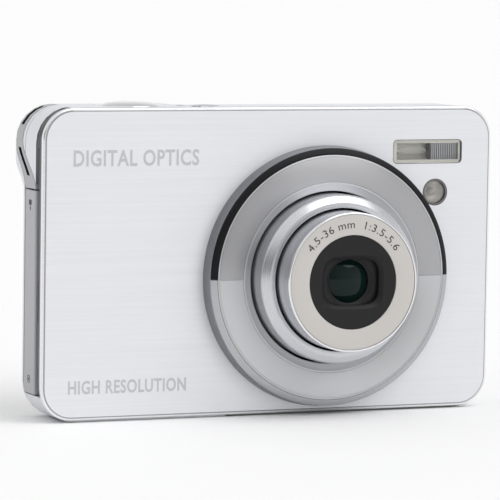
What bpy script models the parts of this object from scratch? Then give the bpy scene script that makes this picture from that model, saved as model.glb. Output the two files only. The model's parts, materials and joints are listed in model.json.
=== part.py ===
"""Compact digital camera with a retracting zoom lens, as separate pieces that come apart on a bench.

Run with: blender --background --python part.py

Sizes are in millimetres and become metres where a mesh is made. x runs across the camera, y runs back from
the front plate's face and z runs up from the base. The model's origin is on the base, in the middle of the
body's depth, so the lens looks along -Y. Lens pieces hang from an empty on the lens axis: in that frame
their height h is measured forward from the front plate's face.
"""

import math

import bmesh
import bpy
from mathutils import Matrix, Vector

MM = 0.001

# Body
PLATE_WIDTH = 95.5
PLATE_THICK = 1.0
PLATE_LIFT = 0.4
PLATE_CORNER = 6.3
PLATE_EDGE = 0.55
BODY_HEIGHT = 60.9
BODY_DEPTH = 15.8
BODY_SETBACK = 0.35
BODY_CORNER = 7.0
REAR_EDGE = 4.4
WALL = 1.2
GAP = 0.3
FRONT_DEPTH = 11.4
HUMP_RISE = 3.4
HUMP_WIDTH = 30.4
HUMP_EDGE = 2.6
HUMP_TOP_BAND = 7.9
HUMP_BLEND = 9.5
GROOVE_WIDTH = 3.9
GROOVE_DEPTH = 0.5

# Lens, from the ring on the plate to the sensor
LENS_FROM_SIDE = 36.35
LENS_HEIGHT = 27.4
RING_BASE_R = 25.9
RING_FRONT_R = 25.56
RING_FACE_R = 24.2
RING_BORE_R = 18.55
RING_CHAMFER = 0.8
RING_RISE = 3.9
RING_STEPS = 48
PLATE_BORE_R = 24.5
INLAY_DEPTH = 0.3
SLEEVE_GAP = 0.42
BARREL_STEPS = 40
BARREL_1_R = 16.68
BARREL_1_RISE = 8.6
BARREL_1_LIP_R = 14.13
BARREL_1_WALL = 1.28
BARREL_2_R = 13.69
BARREL_2_RISE = 14.06
BARREL_2_WALL = 1.0
BARREL_2_LENGTH = 10.66
NAME_RING_BORE_R = 9.25
NAME_RING_THICK = 0.6
MASK_OPENING = (11.5, 8.9)
FRONT_LENS_R = 5.2
BARREL_REAR = 2.6
BLADE_TRAVEL = 4.6
HOUSING_BORE_R = 18.4
HOUSING_WALL = 2.0
HOUSING_REAR = 8.3

# Zoom gear train
GEAR_MODULE = 0.4
RIM_TEETH = 88
PINION_TEETH = 10
WHEEL_TEETH = 24
MOTOR_TEETH = 8
GEAR_BEARING = 135.0
MOTOR_BEARING = 129.0
MOTOR_R = 3.2
MOTOR_LENGTH = 4.7
BARREL_TURN = 90.0

# Flash and lamp, from the lens axis
FLASH_OFFSET = (22.2, 24.45)
FLASH_SIZE = (15.0, 4.6)
LAMP_OFFSET = (24.0, 16.3)
LAMP_R = 2.6

# Top controls, from the grip side
SHUTTER_FROM_SIDE = 21.1
SHUTTER_DEPTH = 9.0
SHUTTER_R = 5.95
SHUTTER_PROUD = 0.85
BEZEL_WALL = 0.45
POWER_FROM_SIDE = 34.35
POWER_R = 2.6
POWER_DEPTH = 7.4
RECESS_R = 4.7
RECESS_DEPTH = 0.4

# Rear: screen and controls
SCREEN_SIZE = (56.6, 43.6)
SCREEN_FROM_SIDE = 5.35
SCREEN_HEIGHT = 30.3
BUTTON_R = 2.6
BUTTON_PROUD = 0.4
BUTTON_SPREAD = 13.0
BUTTON_ROWS = (12.4, 42.0)
NAV_HEIGHT = 27.5
NAV_R = 8.8
NAV_BORE_R = 4.1
OK_R = 3.6
ROCKER_SIZE = (15.0, 3.4)
ROCKER_PROUD = 0.7

# Grip side: strap band, port cover, battery
BAND_BOTTOM = 45.0
BAND_TOP_FRONT = 13.1
BAND_TOP_REAR = 17.2
BAND_SWEEP_TOP = 54.0
STRAP_BAR = (52.6, 57.0)
STRAP_SLOT_WIDTH = 1.5
STRAP_SLOT_LENGTH = 5.2
COVER_BOTTOM = 5.1
DOOR_LENGTH = 38.6
DOOR_DEPTH = 11.6
BATTERY_SIZE = (29.3, 5.6, 39.8)
BATTERY_HEIGHT = 3.6
HOLDER_WALL = 0.3
CARD_SIZE = (24.0, 2.0, 32.0)
TRIPOD_BORE_R = 3.175
TRIPOD_R = 4.1
TRIPOD_HEIGHT = 6.2
SCREW_HEAD_R = 1.2
SCREW_LENGTH = 3.4
BOARD_THICK = 0.8

# Places that follow from the sizes above
HALF = PLATE_WIDTH / 2 - BODY_SETBACK
BODY_FRONT = PLATE_THICK + GAP
HUMP_DEPTH = BODY_DEPTH + HUMP_RISE
HUMP_END = HUMP_WIDTH - HALF
GROOVE_BACK = BODY_FRONT + GROOVE_WIDTH
LENS_X = PLATE_WIDTH / 2 - LENS_FROM_SIDE
SHUTTER_X = SHUTTER_FROM_SIDE - PLATE_WIDTH / 2
POWER_X = POWER_FROM_SIDE - PLATE_WIDTH / 2
SCREEN_RIGHT = PLATE_WIDTH / 2 - SCREEN_FROM_SIDE
SCREEN_LEFT = SCREEN_RIGHT - SCREEN_SIZE[0]
CONTROLS_X = (REAR_EDGE - HALF + SCREEN_LEFT) / 2 - 0.5
REAR_INSIDE = BODY_DEPTH - WALL
COVER_TOP = BAND_BOTTOM - GAP
PIVOT_X = DOOR_LENGTH - HALF
HOUSING_R = HOUSING_BORE_R + HOUSING_WALL
HOLDER_RIGHT = LENS_X - HOUSING_R - GAP
BATTERY_RIGHT = HOLDER_RIGHT - 2 * HOLDER_WALL
BATTERY_LEFT = BATTERY_RIGHT - BATTERY_SIZE[0]
BATTERY_FRONT = BODY_FRONT + WALL + 0.4
BOARD_FRONT = HOUSING_REAR + 1.45
CONTROL_BOARD_BACK = REAR_INSIDE - 1.3

# Turning a lens-frame piece's height into depth: the lens axis empty points its +Z forward.
FORWARD = (math.pi / 2, 0.0, 0.0)
ALONG = {"X": 0, "Y": 1, "Z": 2}

FINISHES = {
    "brushed_plate": ((0.80, 0.81, 0.84), 0.9, 0.34),
    "satin_case": ((0.66, 0.67, 0.70), 0.2, 0.42),
    "side_metal": ((0.42, 0.42, 0.45), 0.7, 0.35),
    "bright_chrome": ((0.86, 0.86, 0.88), 1.0, 0.12),
    "ring_satin": ((0.62, 0.62, 0.65), 0.9, 0.28),
    "black_gloss": ((0.012, 0.012, 0.014), 0.0, 0.18),
    "black_plastic": ((0.03, 0.03, 0.032), 0.0, 0.5),
    "warm_silver": ((0.56, 0.54, 0.53), 0.8, 0.36),
    "clear_glass": ((0.85, 0.90, 0.92), 0.0, 0.05),
    "coated_glass": ((0.05, 0.09, 0.08), 0.0, 0.04),
    "reflector": ((0.82, 0.80, 0.74), 0.9, 0.2),
    "board_green": ((0.04, 0.22, 0.10), 0.0, 0.5),
    "steel": ((0.55, 0.55, 0.56), 1.0, 0.3),
    "brass": ((0.66, 0.50, 0.24), 1.0, 0.32),
    "gear_white": ((0.78, 0.77, 0.72), 0.0, 0.45),
    "battery_grey": ((0.16, 0.17, 0.19), 0.0, 0.4),
    "latch_orange": ((0.85, 0.33, 0.05), 0.0, 0.4),
}


def clear_scene():
    """Remove what the startup scene holds."""
    for obj in list(bpy.data.objects):
        bpy.data.objects.remove(obj, do_unlink=True)


def new_collection(name):
    """Add a collection to the scene."""
    made = bpy.data.collections.new(name)
    bpy.context.scene.collection.children.link(made)
    return made


def finish(name, slot):
    """Make a piece's own Principled material from a named finish."""
    colour, metallic, roughness = FINISHES[slot]
    material = bpy.data.materials.new(f"{name}_{slot}")
    material.use_nodes = True
    shader = material.node_tree.nodes["Principled BSDF"]
    shader.inputs["Base Color"].default_value = (*colour, 1.0)
    shader.inputs["Metallic"].default_value = metallic
    shader.inputs["Roughness"].default_value = roughness
    return material


class Bench:
    """Where pieces and cutters are put, and the empties that they hang from."""

    def __init__(self):
        self.parts = new_collection("compact_camera")
        self.cutters = new_collection("cutters")
        self.cutters.hide_render = True
        self.body = self.empty("body_frame", None, (0, -BODY_DEPTH / 2, 0))
        self.lens = self.empty("lens_axis", self.body, (LENS_X, 0, LENS_HEIGHT), FORWARD)

    def empty(self, name, parent, place, turn=(0, 0, 0)):
        """Add an empty that pieces hang from."""
        made = bpy.data.objects.new(name, None)
        made.parent = parent
        made.location = Vector(place) * MM
        made.rotation_euler = turn
        made.empty_display_size = 5 * MM
        self.parts.objects.link(made)
        return made

    def put(self, name, mesh, frame, place, slot, turn=(0, 0, 0)):
        """Add a piece with a finish, or a cutter where slot is None."""
        made = bpy.data.objects.new(name, mesh)
        made.parent = frame
        made.location = Vector(place) * MM
        made.rotation_euler = turn
        if slot:
            mesh.materials.append(finish(name, slot))
            self.parts.objects.link(made)
        else:
            made.hide_render = True
            made.display_type = "WIRE"
            self.cutters.objects.link(made)
        return made


def to_mesh(name, shape):
    """Write a bmesh to a new mesh."""
    mesh = bpy.data.meshes.new(name)
    shape.to_mesh(mesh)
    shape.free()
    return mesh


def round_edges(shape, edges, radius, segments):
    """Bevel some of a bmesh's edges to a radius in millimetres."""
    bmesh.ops.bevel(
        shape,
        geom=edges,
        offset=radius * MM,
        offset_type="OFFSET",
        segments=segments,
        profile=0.5,
        affect="EDGES",
        clamp_overlap=True,
        material=-1,
    )


def rim_edges(shape, axis, side):
    """The edges of a box's face at the low (-1) or high (+1) end of an axis."""
    reach = max(side * vert.co[axis] for vert in shape.verts)
    on_face = {vert for vert in shape.verts if abs(side * vert.co[axis] - reach) < 0.001 * MM}
    return [edge for edge in shape.edges if set(edge.verts) <= on_face]


def block(bench, name, low, high, slot=None, corner=None, rims=(), frame=None, origin=None):
    """A box between two corners.

    corner is (axis, radius, segments) and rounds the four edges along that axis. Each of rims is
    (axis, side, radius, segments) and rounds the edges of one face.
    """
    low, high = Vector(low), Vector(high)
    middle = (low + high) / 2
    place = middle if origin is None else Vector(origin)
    size = (high - low) * MM
    shape = bmesh.new()
    centred = Matrix.Translation((middle - place) * MM)
    bmesh.ops.create_cube(shape, size=1.0, matrix=centred @ Matrix.Diagonal((*size, 1.0)))
    if corner:
        axis = ALONG[corner[0]]
        along = [
            edge
            for edge in shape.edges
            if abs((edge.verts[0].co - edge.verts[1].co)[axis]) > 0.9 * size[axis]
        ]
        round_edges(shape, along, corner[1], corner[2])
    for axis, side, radius, segments in rims:
        round_edges(shape, rim_edges(shape, ALONG[axis], side), radius, segments)
    return bench.put(name, to_mesh(name, shape), frame or bench.body, place, slot)


def cylinder(bench, name, place, radius, low, high, axis="Z", slot=None, segments=24, frame=None):
    """A cylinder round an axis through place, from low to high along that axis."""
    turns = {"X": Matrix.Rotation(math.pi / 2, 4, "Y"), "Y": Matrix.Rotation(math.pi / 2, 4, "X")}
    shape = bmesh.new()
    bmesh.ops.create_cone(
        shape,
        cap_ends=True,
        segments=segments,
        radius1=radius * MM,
        radius2=radius * MM,
        depth=(high - low) * MM,
        matrix=turns.get(axis, Matrix.Identity(4)),
    )
    centre = Vector(place)
    centre[ALONG[axis]] = (low + high) / 2
    return bench.put(name, to_mesh(name, shape), frame or bench.body, centre, slot)


def turned(bench, name, profile, slot=None, steps=48, frame=None, place=(0, 0, 0)):
    """Turn a profile of (radius, height) round the frame's Z axis.

    The profile runs down the outer side. It is closed, unless it starts and ends on the axis.
    """
    shape = bmesh.new()
    points = [shape.verts.new((radius * MM, 0.0, height * MM)) for radius, height in profile]
    for first, second in zip(points, points[1:]):
        shape.edges.new((first, second))
    if profile[0][0] > 0:
        shape.edges.new((points[-1], points[0]))
    made = bench.put(name, to_mesh(name, shape), frame or bench.lens, place, slot)
    screw = made.modifiers.new("turn", "SCREW")
    screw.axis = "Z"
    screw.angle = 2 * math.pi
    screw.steps = steps
    screw.render_steps = steps
    screw.use_merge_vertices = True
    screw.merge_threshold = 0.00001
    return made


def prism(bench, name, outline, low, high, plane="XY", slot=None, frame=None, place=(0, 0, 0)):
    """A flat outline given depth from low to high along the axis that its plane lacks.

    plane is XY, XZ or YZ: the outline's two values run along those axes.
    """
    turns = {
        "XY": Matrix.Identity(4),
        "XZ": Matrix(((1, 0, 0, 0), (0, 0, 1, 0), (0, 1, 0, 0), (0, 0, 0, 1))),
        "YZ": Matrix(((0, 0, 1, 0), (1, 0, 0, 0), (0, 1, 0, 0), (0, 0, 0, 1))),
    }
    curve = bpy.data.curves.new(name, "CURVE")
    curve.dimensions = "2D"
    curve.fill_mode = "BOTH"
    curve.extrude = (high - low) / 2 * MM
    spline = curve.splines.new("POLY")
    spline.points.add(len(outline) - 1)
    for point, (across, up) in zip(spline.points, outline):
        point.co = (across * MM, up * MM, 0.0, 1.0)
    spline.use_cyclic_u = True
    drawn = bpy.data.objects.new(name, curve)
    bench.cutters.objects.link(drawn)
    graph = bpy.context.evaluated_depsgraph_get()
    mesh = bpy.data.meshes.new_from_object(drawn.evaluated_get(graph))
    bpy.data.objects.remove(drawn, do_unlink=True)
    shape = bmesh.new()
    shape.from_mesh(mesh)
    bmesh.ops.remove_doubles(shape, verts=shape.verts, dist=0.000001)
    bmesh.ops.translate(shape, verts=shape.verts, vec=(0, 0, (low + high) / 2 * MM))
    bmesh.ops.transform(shape, verts=shape.verts, matrix=turns[plane])
    bmesh.ops.recalc_face_normals(shape, faces=shape.faces)
    shape.to_mesh(mesh)
    shape.free()
    return bench.put(name, mesh, frame or bench.body, place, slot)


def combine(piece, operation, tools):
    """Add one exact Boolean to a piece for each tool."""
    for tool in tools:
        step = piece.modifiers.new(operation.lower(), "BOOLEAN")
        step.operation = operation
        step.solver = "EXACT"
        step.object = tool
    return piece


def cut(piece, *tools):
    """Take the tools out of a piece."""
    return combine(piece, "DIFFERENCE", tools)


def join(piece, *tools):
    """Make a piece and the tools one body."""
    return combine(piece, "UNION", tools)


def keep(piece, *tools):
    """Keep what a piece and each tool share."""
    return combine(piece, "INTERSECT", tools)


def ease(share):
    """Smooth step from 0 to 1."""
    share = min(1.0, max(0.0, share))
    return share * share * (3 - 2 * share)


def gear_outline(teeth, bearing):
    """A spur gear's outline, with the middle of one tooth at bearing degrees."""
    pitch_r = GEAR_MODULE * teeth / 2
    tip_r = pitch_r + 0.8 * GEAR_MODULE
    root_r = pitch_r - 1.2 * GEAR_MODULE
    corners = ((-0.27, root_r), (-0.11, tip_r), (0.11, tip_r), (0.27, root_r))
    outline = []
    for tooth in range(teeth):
        for share, radius in corners:
            angle = math.radians(bearing) + 2 * math.pi * (tooth + share) / teeth
            outline.append((radius * math.cos(angle), radius * math.sin(angle)))
    return outline


def polar(radius, bearing):
    """A point at a bearing in degrees from +X towards +Y of its own plane."""
    angle = math.radians(bearing)
    return radius * math.cos(angle), radius * math.sin(angle)


# ---------------------------------------------------------------------------------------------
# Body shell. Both case halves, the strap band, the port cover and the battery door are cut from
# the same hollow form, so that they lie flush.


def body_form(bench, name, inset, front, slot=None):
    """The camera's outer form, or its hollow where inset is the wall."""
    depth = BODY_DEPTH - inset
    sides = (-HALF + inset, HALF - inset)
    levels = (inset, BODY_HEIGHT - inset)
    corner = ("Y", BODY_CORNER - inset, 6)
    form = block(
        bench,
        name,
        (sides[0], front, levels[0]),
        (sides[1], depth, levels[1]),
        slot,
        corner=corner,
        rims=[("Y", 1, REAR_EDGE - inset, 4)],
    )
    hump = block(
        bench,
        f"{name}_hump",
        (sides[0], FRONT_DEPTH - 2, levels[0]),
        (sides[1], HUMP_DEPTH - inset, levels[1]),
        corner=corner,
        rims=[("Y", 1, HUMP_EDGE - inset, 3)],
    )
    blend_top = BODY_HEIGHT - HUMP_TOP_BAND + inset
    steps = 8
    slope = [
        (
            BODY_DEPTH - REAR_EDGE - inset + (HUMP_RISE + REAR_EDGE + 0.3) * ease(step / steps),
            blend_top - HUMP_BLEND * (1 - step / steps),
        )
        for step in range(steps + 1)
    ]
    far = BODY_HEIGHT + 5
    outline = [(FRONT_DEPTH - 4, far), (FRONT_DEPTH - 4, slope[0][1])] + slope + [(slope[-1][0], far)]
    region = prism(bench, f"{name}_hump_region", outline, -HALF - 5, HUMP_END - inset, "YZ")
    keep(hump, region)
    return join(form, hump)


def neck_form(bench):
    """The groove behind the plate's side edges, as a cutter."""
    ring = block(
        bench,
        "groove_ring",
        (-HALF - 5, 0, COVER_BOTTOM - GAP),
        (HALF + 5, GROOVE_BACK, BODY_HEIGHT + 5),
    )
    neck = block(
        bench,
        "groove_neck",
        (GROOVE_DEPTH - HALF, -2, -1),
        (HALF - GROOVE_DEPTH, GROOVE_BACK + 2, BODY_HEIGHT + 0.3),
        corner=("Y", BODY_CORNER + 1.2, 6),
    )
    return cut(ring, neck)


def hollow_form(bench):
    """The inside of the case, narrower behind the groove so that the wall stays whole there."""
    hollow = body_form(bench, "case_hollow", WALL, GROOVE_BACK + WALL)
    inset = GROOVE_DEPTH + WALL
    neck = block(
        bench,
        "neck_hollow",
        (inset - HALF, BODY_FRONT + WALL, WALL),
        (HALF - inset, GROOVE_BACK + 2 * WALL, BODY_HEIGHT - WALL),
        corner=("Y", BODY_CORNER - WALL, 6),
    )
    return join(hollow, neck)


def band_edge(height, low, high):
    """Depth of the strap band's edge at a height: it sweeps forward as it goes down."""
    return low + (high - low) * ease((height - BAND_BOTTOM) / (BAND_SWEEP_TOP - BAND_BOTTOM))


def band_region(bench, name, slack):
    """What the strap band takes of the shell, grown by slack on each side."""
    steps = 10
    bottom = BAND_BOTTOM - slack
    levels = [bottom + (BAND_SWEEP_TOP - bottom) * step / steps for step in range(steps + 1)]
    levels.append(BODY_HEIGHT + 5)
    low_front = GROOVE_BACK
    low_rear = FRONT_DEPTH - GAP
    front = [(band_edge(level, low_front, BAND_TOP_FRONT) - slack, level) for level in levels]
    rear = [(band_edge(level, low_rear, BAND_TOP_REAR) + slack, level) for level in levels]
    end = BODY_CORNER - HALF + slack
    return prism(bench, name, front + rear[::-1], -HALF - 5, end, "YZ")


def strap_slots(bench):
    """Cutters for the two strap slots, with the strap bar between them."""
    lower_top, upper_bottom = STRAP_BAR
    low_rear = FRONT_DEPTH - GAP
    tools = []
    for name, bottom, top in (
        ("strap_slot_lower", lower_top - STRAP_SLOT_LENGTH, lower_top),
        ("strap_slot_upper", upper_bottom, BODY_HEIGHT + 3),
    ):
        steps = 6
        levels = [bottom + (top - bottom) * step / steps for step in range(steps + 1)]
        middles = [
            (
                band_edge(level, GROOVE_BACK, BAND_TOP_FRONT) + band_edge(level, low_rear, BAND_TOP_REAR)
            )
            / 2
            for level in levels
        ]
        side = STRAP_SLOT_WIDTH / 2
        front = [(middle - side, level) for middle, level in zip(middles, levels)]
        rear = [(middle + side, level) for middle, level in zip(middles, levels)]
        end = BODY_CORNER - HALF - 2.0
        tools.append(prism(bench, name, front + rear[::-1], -HALF - 5, end, "YZ"))
    return tools


def side_pieces(bench):
    """Strap band and port cover, flush with the shell."""
    wall = body_form(bench, "band_hollow", WALL, -5)
    band = body_form(bench, "side_band", 0.0, BODY_FRONT, "side_metal")
    cut(band, wall)
    keep(band, band_region(bench, "band_region", 0.0))
    cut(band, *strap_slots(bench))

    hinge_y = FRONT_DEPTH - 0.2 - WALL / 2
    hinge = (WALL / 2 - HALF, hinge_y, (COVER_BOTTOM + COVER_TOP) / 2)
    cover = block(
        bench,
        "port_cover",
        (-HALF, GROOVE_BACK, COVER_BOTTOM),
        (WALL - HALF, hinge_y + WALL / 2, COVER_TOP),
        "side_metal",
        corner=("Z", 0.35, 2),
        origin=hinge,
    )
    finger = cylinder(
        bench,
        "cover_finger_notch",
        (WALL - HALF, GROOVE_BACK, 0),
        0.5,
        COVER_BOTTOM + 14,
        COVER_BOTTOM + 22,
        segments=12,
    )
    cut(cover, finger)

    frame_right = WALL + 1.2 - HALF
    plate = block(
        bench,
        "port_frame",
        (WALL + 0.4 - HALF, GROOVE_BACK + 1.6, COVER_BOTTOM + 0.5),
        (frame_right, FRONT_DEPTH - 0.4, COVER_TOP - 0.5),
        "black_plastic",
    )
    middle = (COVER_BOTTOM + COVER_TOP) / 2
    usb_front = GROOVE_BACK + 1.9
    usb_low = Vector((WALL + 0.3 - HALF, usb_front, middle - 4.0))
    usb_high = Vector((BATTERY_LEFT - 2 * HOLDER_WALL - GAP, usb_front + 3.0, middle + 4.0))
    room = Vector((5, GAP / 2, GAP / 2))
    cut(plate, block(bench, "usb_room", usb_low - room, usb_high + room))
    usb = block(bench, "usb_socket", usb_low, usb_high, "steel", corner=("X", 0.6, 2))
    mouth = block(
        bench,
        "usb_mouth",
        usb_low + Vector((-2, 0.5, 0.5)),
        usb_high - Vector((1.4, 0.5, 0.5)),
        corner=("X", 0.4, 2),
    )
    tongue = block(
        bench,
        "usb_tongue",
        (usb_low.x + 0.8, usb_front + 1.3, middle - 2.6),
        (usb_high.x - 0.6, usb_front + 1.7, middle + 2.6),
    )
    join(cut(usb, mouth), tongue)


def door_strip(bench, name, slack):
    """The strip of the shell that the battery door fills, grown by slack."""
    strip = block(
        bench,
        name,
        (-HALF - 5, BODY_FRONT - 5 * slack, -5),
        (PIVOT_X + slack * (WALL / 2 + GAP) / GAP, DOOR_DEPTH + slack, COVER_BOTTOM - GAP + slack),
    )
    inside = block(
        bench,
        f"{name}_inside",
        (-HALF + WALL + slack, -6, WALL + slack),
        (HALF, DOOR_DEPTH + 6, BODY_HEIGHT),
        corner=("Y", BODY_CORNER - WALL - slack, 6),
    )
    return cut(strip, inside)


def battery_pieces(bench):
    """Battery door on its slider, the battery in its holder, the latch and the memory card."""
    pivot = (PIVOT_X, (BODY_FRONT + DOOR_DEPTH) / 2, WALL / 2)
    door = body_form(bench, "battery_door", 0.0, BODY_FRONT, "satin_case")
    keep(door, door_strip(bench, "door_strip", 0.0))
    knuckle_r = WALL / 2 - 0.02
    ends = (BODY_FRONT + 0.6, DOOR_DEPTH - 0.8)
    join(door, cylinder(bench, "door_knuckle", pivot, knuckle_r, *ends, axis="Y", segments=16))
    notch_half = 1.4
    notch_low = (PIVOT_X - 1.6, pivot[1] - notch_half, -1)
    notch_high = (PIVOT_X + 2, pivot[1] + notch_half, WALL + 1)
    cut(door, block(bench, "door_notch", notch_low, notch_high))
    bore_half = notch_half + 1.9
    bore_ends = (pivot[1] - bore_half, pivot[1] + bore_half)
    cut(door, cylinder(bench, "door_bore", pivot, 0.38, *bore_ends, axis="Y", segments=12))
    for rib in range(4):
        ridge = cylinder(
            bench,
            f"door_ridge_{rib}",
            (BODY_CORNER - HALF + 2.4 + 1.5 * rib, 0, 0.0),
            0.35,
            BODY_FRONT + 1.6,
            DOOR_DEPTH - 2.2,
            axis="Y",
            segments=10,
        )
        cut(door, ridge)

    tab_low = (PIVOT_X - 9, pivot[1] - notch_half + 0.2, WALL + GAP)
    tab_high = (PIVOT_X + 0.45, pivot[1] + notch_half - 0.2, WALL + GAP + 0.6)
    slider = block(bench, "door_slider", tab_low, tab_high, "steel", origin=pivot)
    finger = block(
        bench,
        "slider_finger",
        (PIVOT_X - 0.45, tab_low[1] + 0.1, 0.12),
        (PIVOT_X + 0.4, tab_high[1] - 0.1, WALL + GAP + 0.3),
    )
    join(slider, finger)
    pin_half = bore_half - 0.2
    pin_ends = (pivot[1] - pin_half, pivot[1] + pin_half)
    join(slider, cylinder(bench, "slider_pin", pivot, 0.3, *pin_ends, axis="Y", segments=12))

    front, bottom = BATTERY_FRONT, BATTERY_HEIGHT
    width, thick, height = BATTERY_SIZE
    wall = HOLDER_WALL
    holder = block(
        bench,
        "battery_holder",
        (BATTERY_LEFT - 2 * wall, front - wall - 0.05, bottom + 0.4),
        (HOLDER_RIGHT, front + thick + wall + 0.05, bottom + height + 1.0),
        "black_plastic",
    )
    room = block(
        bench,
        "battery_room",
        (BATTERY_LEFT - 0.1, front - 0.1, bottom - 4),
        (BATTERY_RIGHT + 0.1, front + thick + 0.1, bottom + height + 0.2),
    )
    cut(holder, room)
    block(
        bench,
        "battery",
        (BATTERY_LEFT, front, bottom),
        (BATTERY_RIGHT, front + thick, bottom + height),
        "battery_grey",
        corner=("Z", 1.2, 3),
    )
    lever_x = BATTERY_LEFT - 2 * wall - 2.4
    hook_z = bottom - GAP - 0.6
    latch = block(
        bench,
        "battery_latch",
        (lever_x, front + 1.2, hook_z),
        (lever_x + 0.8, front + thick - 1.2, bottom + 6),
        "latch_orange",
    )
    hook = block(
        bench,
        "latch_hook",
        (lever_x + 0.4, front + 1.4, hook_z),
        (BATTERY_LEFT + 0.9, front + thick - 1.4, bottom - GAP),
    )
    join(latch, hook)
    card_front = front + thick + wall + 0.35
    card_right = BATTERY_RIGHT - 3
    card = block(
        bench,
        "memory_card",
        (card_right - CARD_SIZE[0], card_front, bottom),
        (card_right, card_front + CARD_SIZE[1], bottom + CARD_SIZE[2]),
        "battery_grey",
        rims=[("Z", -1, 0.3, 1)],
    )
    key_low = (card_right - CARD_SIZE[0] - 1, card_front - 1, bottom + CARD_SIZE[2] - 3)
    key_high = (card_right - CARD_SIZE[0] + 1.5, card_front + 4, bottom + CARD_SIZE[2] + 1)
    cut(card, block(bench, "card_key", key_low, key_high))


def screw_places():
    """Each case screw's name, head centre and the axis that its head faces along."""
    level = BODY_FRONT + 4.4
    return (
        ("case_screw_1", (PIVOT_X + 5.0, level, 0.0), "Z"),
        ("case_screw_2", (HALF - 14.0, level, 0.0), "Z"),
        ("case_screw_3", (HALF, level, 14.0), "X"),
        ("case_screw_4", (HALF, level, 46.0), "X"),
    )


def case_screws(bench):
    """Countersunk screws through the base and the lens-side wall, and the holes that they need."""
    holes = []
    for name, (x, y, z), axis in screw_places():
        side = 1 if axis == "X" else -1
        surface = x if axis == "X" else z
        inward = sorted((surface - side * 0.05, surface - side * 0.6))
        shank = sorted((surface - side * 0.4, surface - side * SCREW_LENGTH))
        beyond = sorted((surface + side * 2, surface - side * 0.75))
        through = sorted((surface + side * 2, surface - side * 5))
        place = (x, y, z)
        head = cylinder(bench, name, place, SCREW_HEAD_R, *inward, axis, "steel", 16)
        join(head, cylinder(bench, f"{name}_shank", place, 0.55, *shank, axis, segments=12))
        slot_reach = (surface + side * 1, surface - side * 0.3)
        for turn, half in (("across", (0.75, 0.13)), ("along", (0.13, 0.75))):
            if axis == "Z":
                low = (x - half[0], y - half[1], min(slot_reach))
                high = (x + half[0], y + half[1], max(slot_reach))
            else:
                low = (min(slot_reach), y - half[0], z - half[1])
                high = (max(slot_reach), y + half[0], z + half[1])
            cut(head, block(bench, f"{name}_{turn}", low, high))
        radius = SCREW_HEAD_R + 0.2
        holes.append(cylinder(bench, f"{name}_sink", place, radius, *beyond, axis, segments=16))
        holes.append(cylinder(bench, f"{name}_hole", place, 0.8, *through, axis, segments=12))
    return holes


def front_openings(bench):
    """Cutters through the front wall and the plate for the flash, the lamp and the gear train."""
    flash_x = LENS_X + FLASH_OFFSET[0]
    flash_z = LENS_HEIGHT + FLASH_OFFSET[1]
    half_w = FLASH_SIZE[0] / 2 + 0.1
    half_h = FLASH_SIZE[1] / 2 + 0.1
    flash = block(
        bench,
        "flash_opening",
        (flash_x - half_w, -3, flash_z - half_h),
        (flash_x + half_w, BODY_FRONT + WALL + 1, flash_z + half_h),
        corner=("Y", 0.9, 3),
    )
    lamp_place = (LENS_X + LAMP_OFFSET[0], 0, LENS_HEIGHT + LAMP_OFFSET[1])
    lamp_ends = (-3, BODY_FRONT + WALL + 1)
    lamp = cylinder(bench, "lamp_opening", lamp_place, LAMP_R + 0.12, *lamp_ends, axis="Y")
    return flash, lamp


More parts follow.
